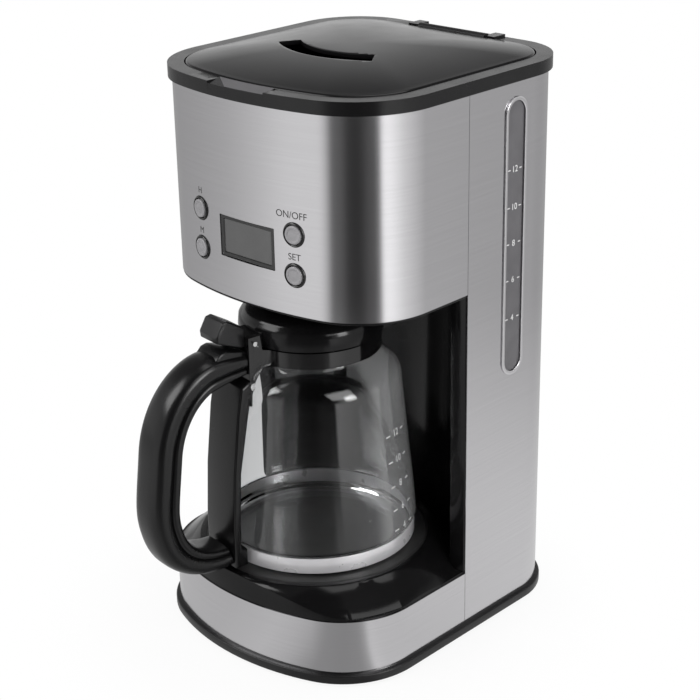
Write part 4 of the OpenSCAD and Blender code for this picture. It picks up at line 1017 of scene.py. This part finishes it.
def text_shape(text, size):
    """Triangles of a line of text, in millimetres, as points (across, up)."""
    curve_data = bpy.data.curves.new("print", "FONT")
    curve_data.body = text
    curve_data.size = size
    curve_data.align_x = "CENTER"
    curve_data.align_y = "CENTER"
    holder = bpy.data.objects.new("print", curve_data)
    bpy.context.scene.collection.objects.link(holder)
    bpy.context.view_layer.update()
    mesh = bpy.data.meshes.new_from_object(holder.evaluated_get(bpy.context.evaluated_depsgraph_get()))
    points = [(v.co.x, v.co.y) for v in mesh.vertices]
    faces = [tuple(p.vertices) for p in mesh.polygons]
    bpy.data.objects.remove(holder)
    bpy.data.curves.remove(curve_data)
    bpy.data.meshes.remove(mesh)
    return points, faces


def bar_shape(x0, x1, y0, y1):
    n = 3
    points = [(x0 + (x1 - x0) * i / n, y) for y in (y0, y1) for i in range(n + 1)]
    faces = [(i, i + 1, n + 2 + i, n + 1 + i) for i in range(n)]
    return points, faces


def make_print(name, shapes, place, material, body, thickness):
    """Thin raised print: flat shapes put on a surface by place(across, up, height above it)."""
    verts, faces = [], []
    for points, polygons in shapes:
        base = len(verts)
        count = len(points)
        verts += [place(x, y, thickness) for x, y in points]
        verts += [place(x, y, 0.0) for x, y in points]
        faces += [tuple(base + i for i in polygon) for polygon in polygons]
        edges = {}
        for polygon in polygons:
            for a, b in zip(polygon, polygon[1:] + polygon[:1]):
                edges[(a, b)] = edges.get((a, b), 0) + 1
        for a, b in list(edges):
            if (b, a) not in edges:
                faces.append((base + a, base + count + a, base + count + b, base + b))
    mesh = bpy.data.meshes.new(name)
    mesh.from_pydata([Vector(v) * MM for v in verts], [], faces)
    obj = bpy.data.objects.new(name, mesh)
    bpy.context.scene.collection.objects.link(obj)
    obj.data.materials.append(material)
    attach(obj, body)


def shifted(shape, dx, dy):
    return [(x + dx, y + dy) for x, y in shape[0]], shape[1]


# Water marks of the gauge and of the carafe: cups and height
GAUGE_MARKS = {12: 297.0, 10: 273.8, 8: 251.1, 6: 228.0, 4: 203.2}
GLASS_MARKS = {12: 139.0, 10: 122.0, 8: 105.8, 6: 90.3, 4: 76.9}
GLASS_MARK_TURN = 14.0       # where the scale stands on the glass, degrees from +X


def make_marks(finish):
    shapes = []
    for cups, z in GAUGE_MARKS.items():
        shapes.append(shifted(text_shape(str(cups), 5.6), 0, z))
        shapes.append(bar_shape(-6.4, -4.2, z - 0.3, z + 0.3))
        shapes.append(bar_shape(4.2, 6.4, z - 0.3, z + 0.3))
    make_print("gauge_marks", shapes, lambda u, v, h: (HALF - 0.22 + h, GAUGE_Y + u, v),
               finish["print_white"], "machine", 0.06)

    shapes = []
    for cups, z in GLASS_MARKS.items():
        shapes.append(shifted(text_shape(str(cups), 6.4), 0, z))
        shapes.append(bar_shape(-10.5, -6.5, z - 0.35, z + 0.35))
        shapes.append(bar_shape(6.5, 10.5, z - 0.35, z + 0.35))

    def on_glass(u, v, h):
        r = glass_radius(v) + h + 0.02
        a = math.radians(GLASS_MARK_TURN) + u / r
        return (r * math.cos(a), AXIS_Y + r * math.sin(a), v)

    make_print("carafe_marks", shapes, on_glass, finish["print_white"], "carafe", 0.05)

    labels = {"H": (-BUTTON_X, BUTTON_HIGH + 10.9, 5.4), "M": (-BUTTON_X, BUTTON_LOW + 10.6, 5.4),
              "ON/OFF": (BUTTON_X - 1.5, BUTTON_HIGH + 11.2, 5.8),
              "SET": (BUTTON_X, BUTTON_LOW + 10.8, 5.6)}
    shapes = [shifted(text_shape(text, size), x, z) for text, (x, z, size) in labels.items()]

    def on_steel(u, v, h):
        origin, inward, side = on_bow(u, v)
        return tuple(origin - inward * (h + 0.01))

    make_print("panel_labels", shapes, on_steel, finish["engraved"], "machine", 0.04)


# ---- build ----------------------------------------------------------------------------------

make_camera()
make_floor()
make_world()
make_lamp("key_lamp", (-0.9, -1.3, 1.5), (0, 0, 0.2), (1.2, 1.0), 22)
make_lamp("fill_lamp", (1.6, -0.2, 1.2), (0, 0, 0.2), (1.0, 1.2), 10)
make_lamp("top_lamp", (0.1, 0.5, 1.8), (0, 0.1, 0.2), (1.2, 1.2), 10)
SMOOTH = smooth_group(34)
finishes = make_finishes()
for node_name, (finish_name, edge_width) in NODE_FINISH.items():
    part = nodes[node_name]
    part.data.materials.clear()
    part.data.materials.append(finishes[finish_name])
    soften(part, edge_width)
make_sheets(finishes)
make_scoop(finishes)
make_lid(finishes)
make_glass(finishes)
make_handle(finishes)
make_buttons(finishes)
make_display(finishes)
make_marks(finishes)

scene = bpy.context.scene
scene.view_settings.view_transform = "Standard"
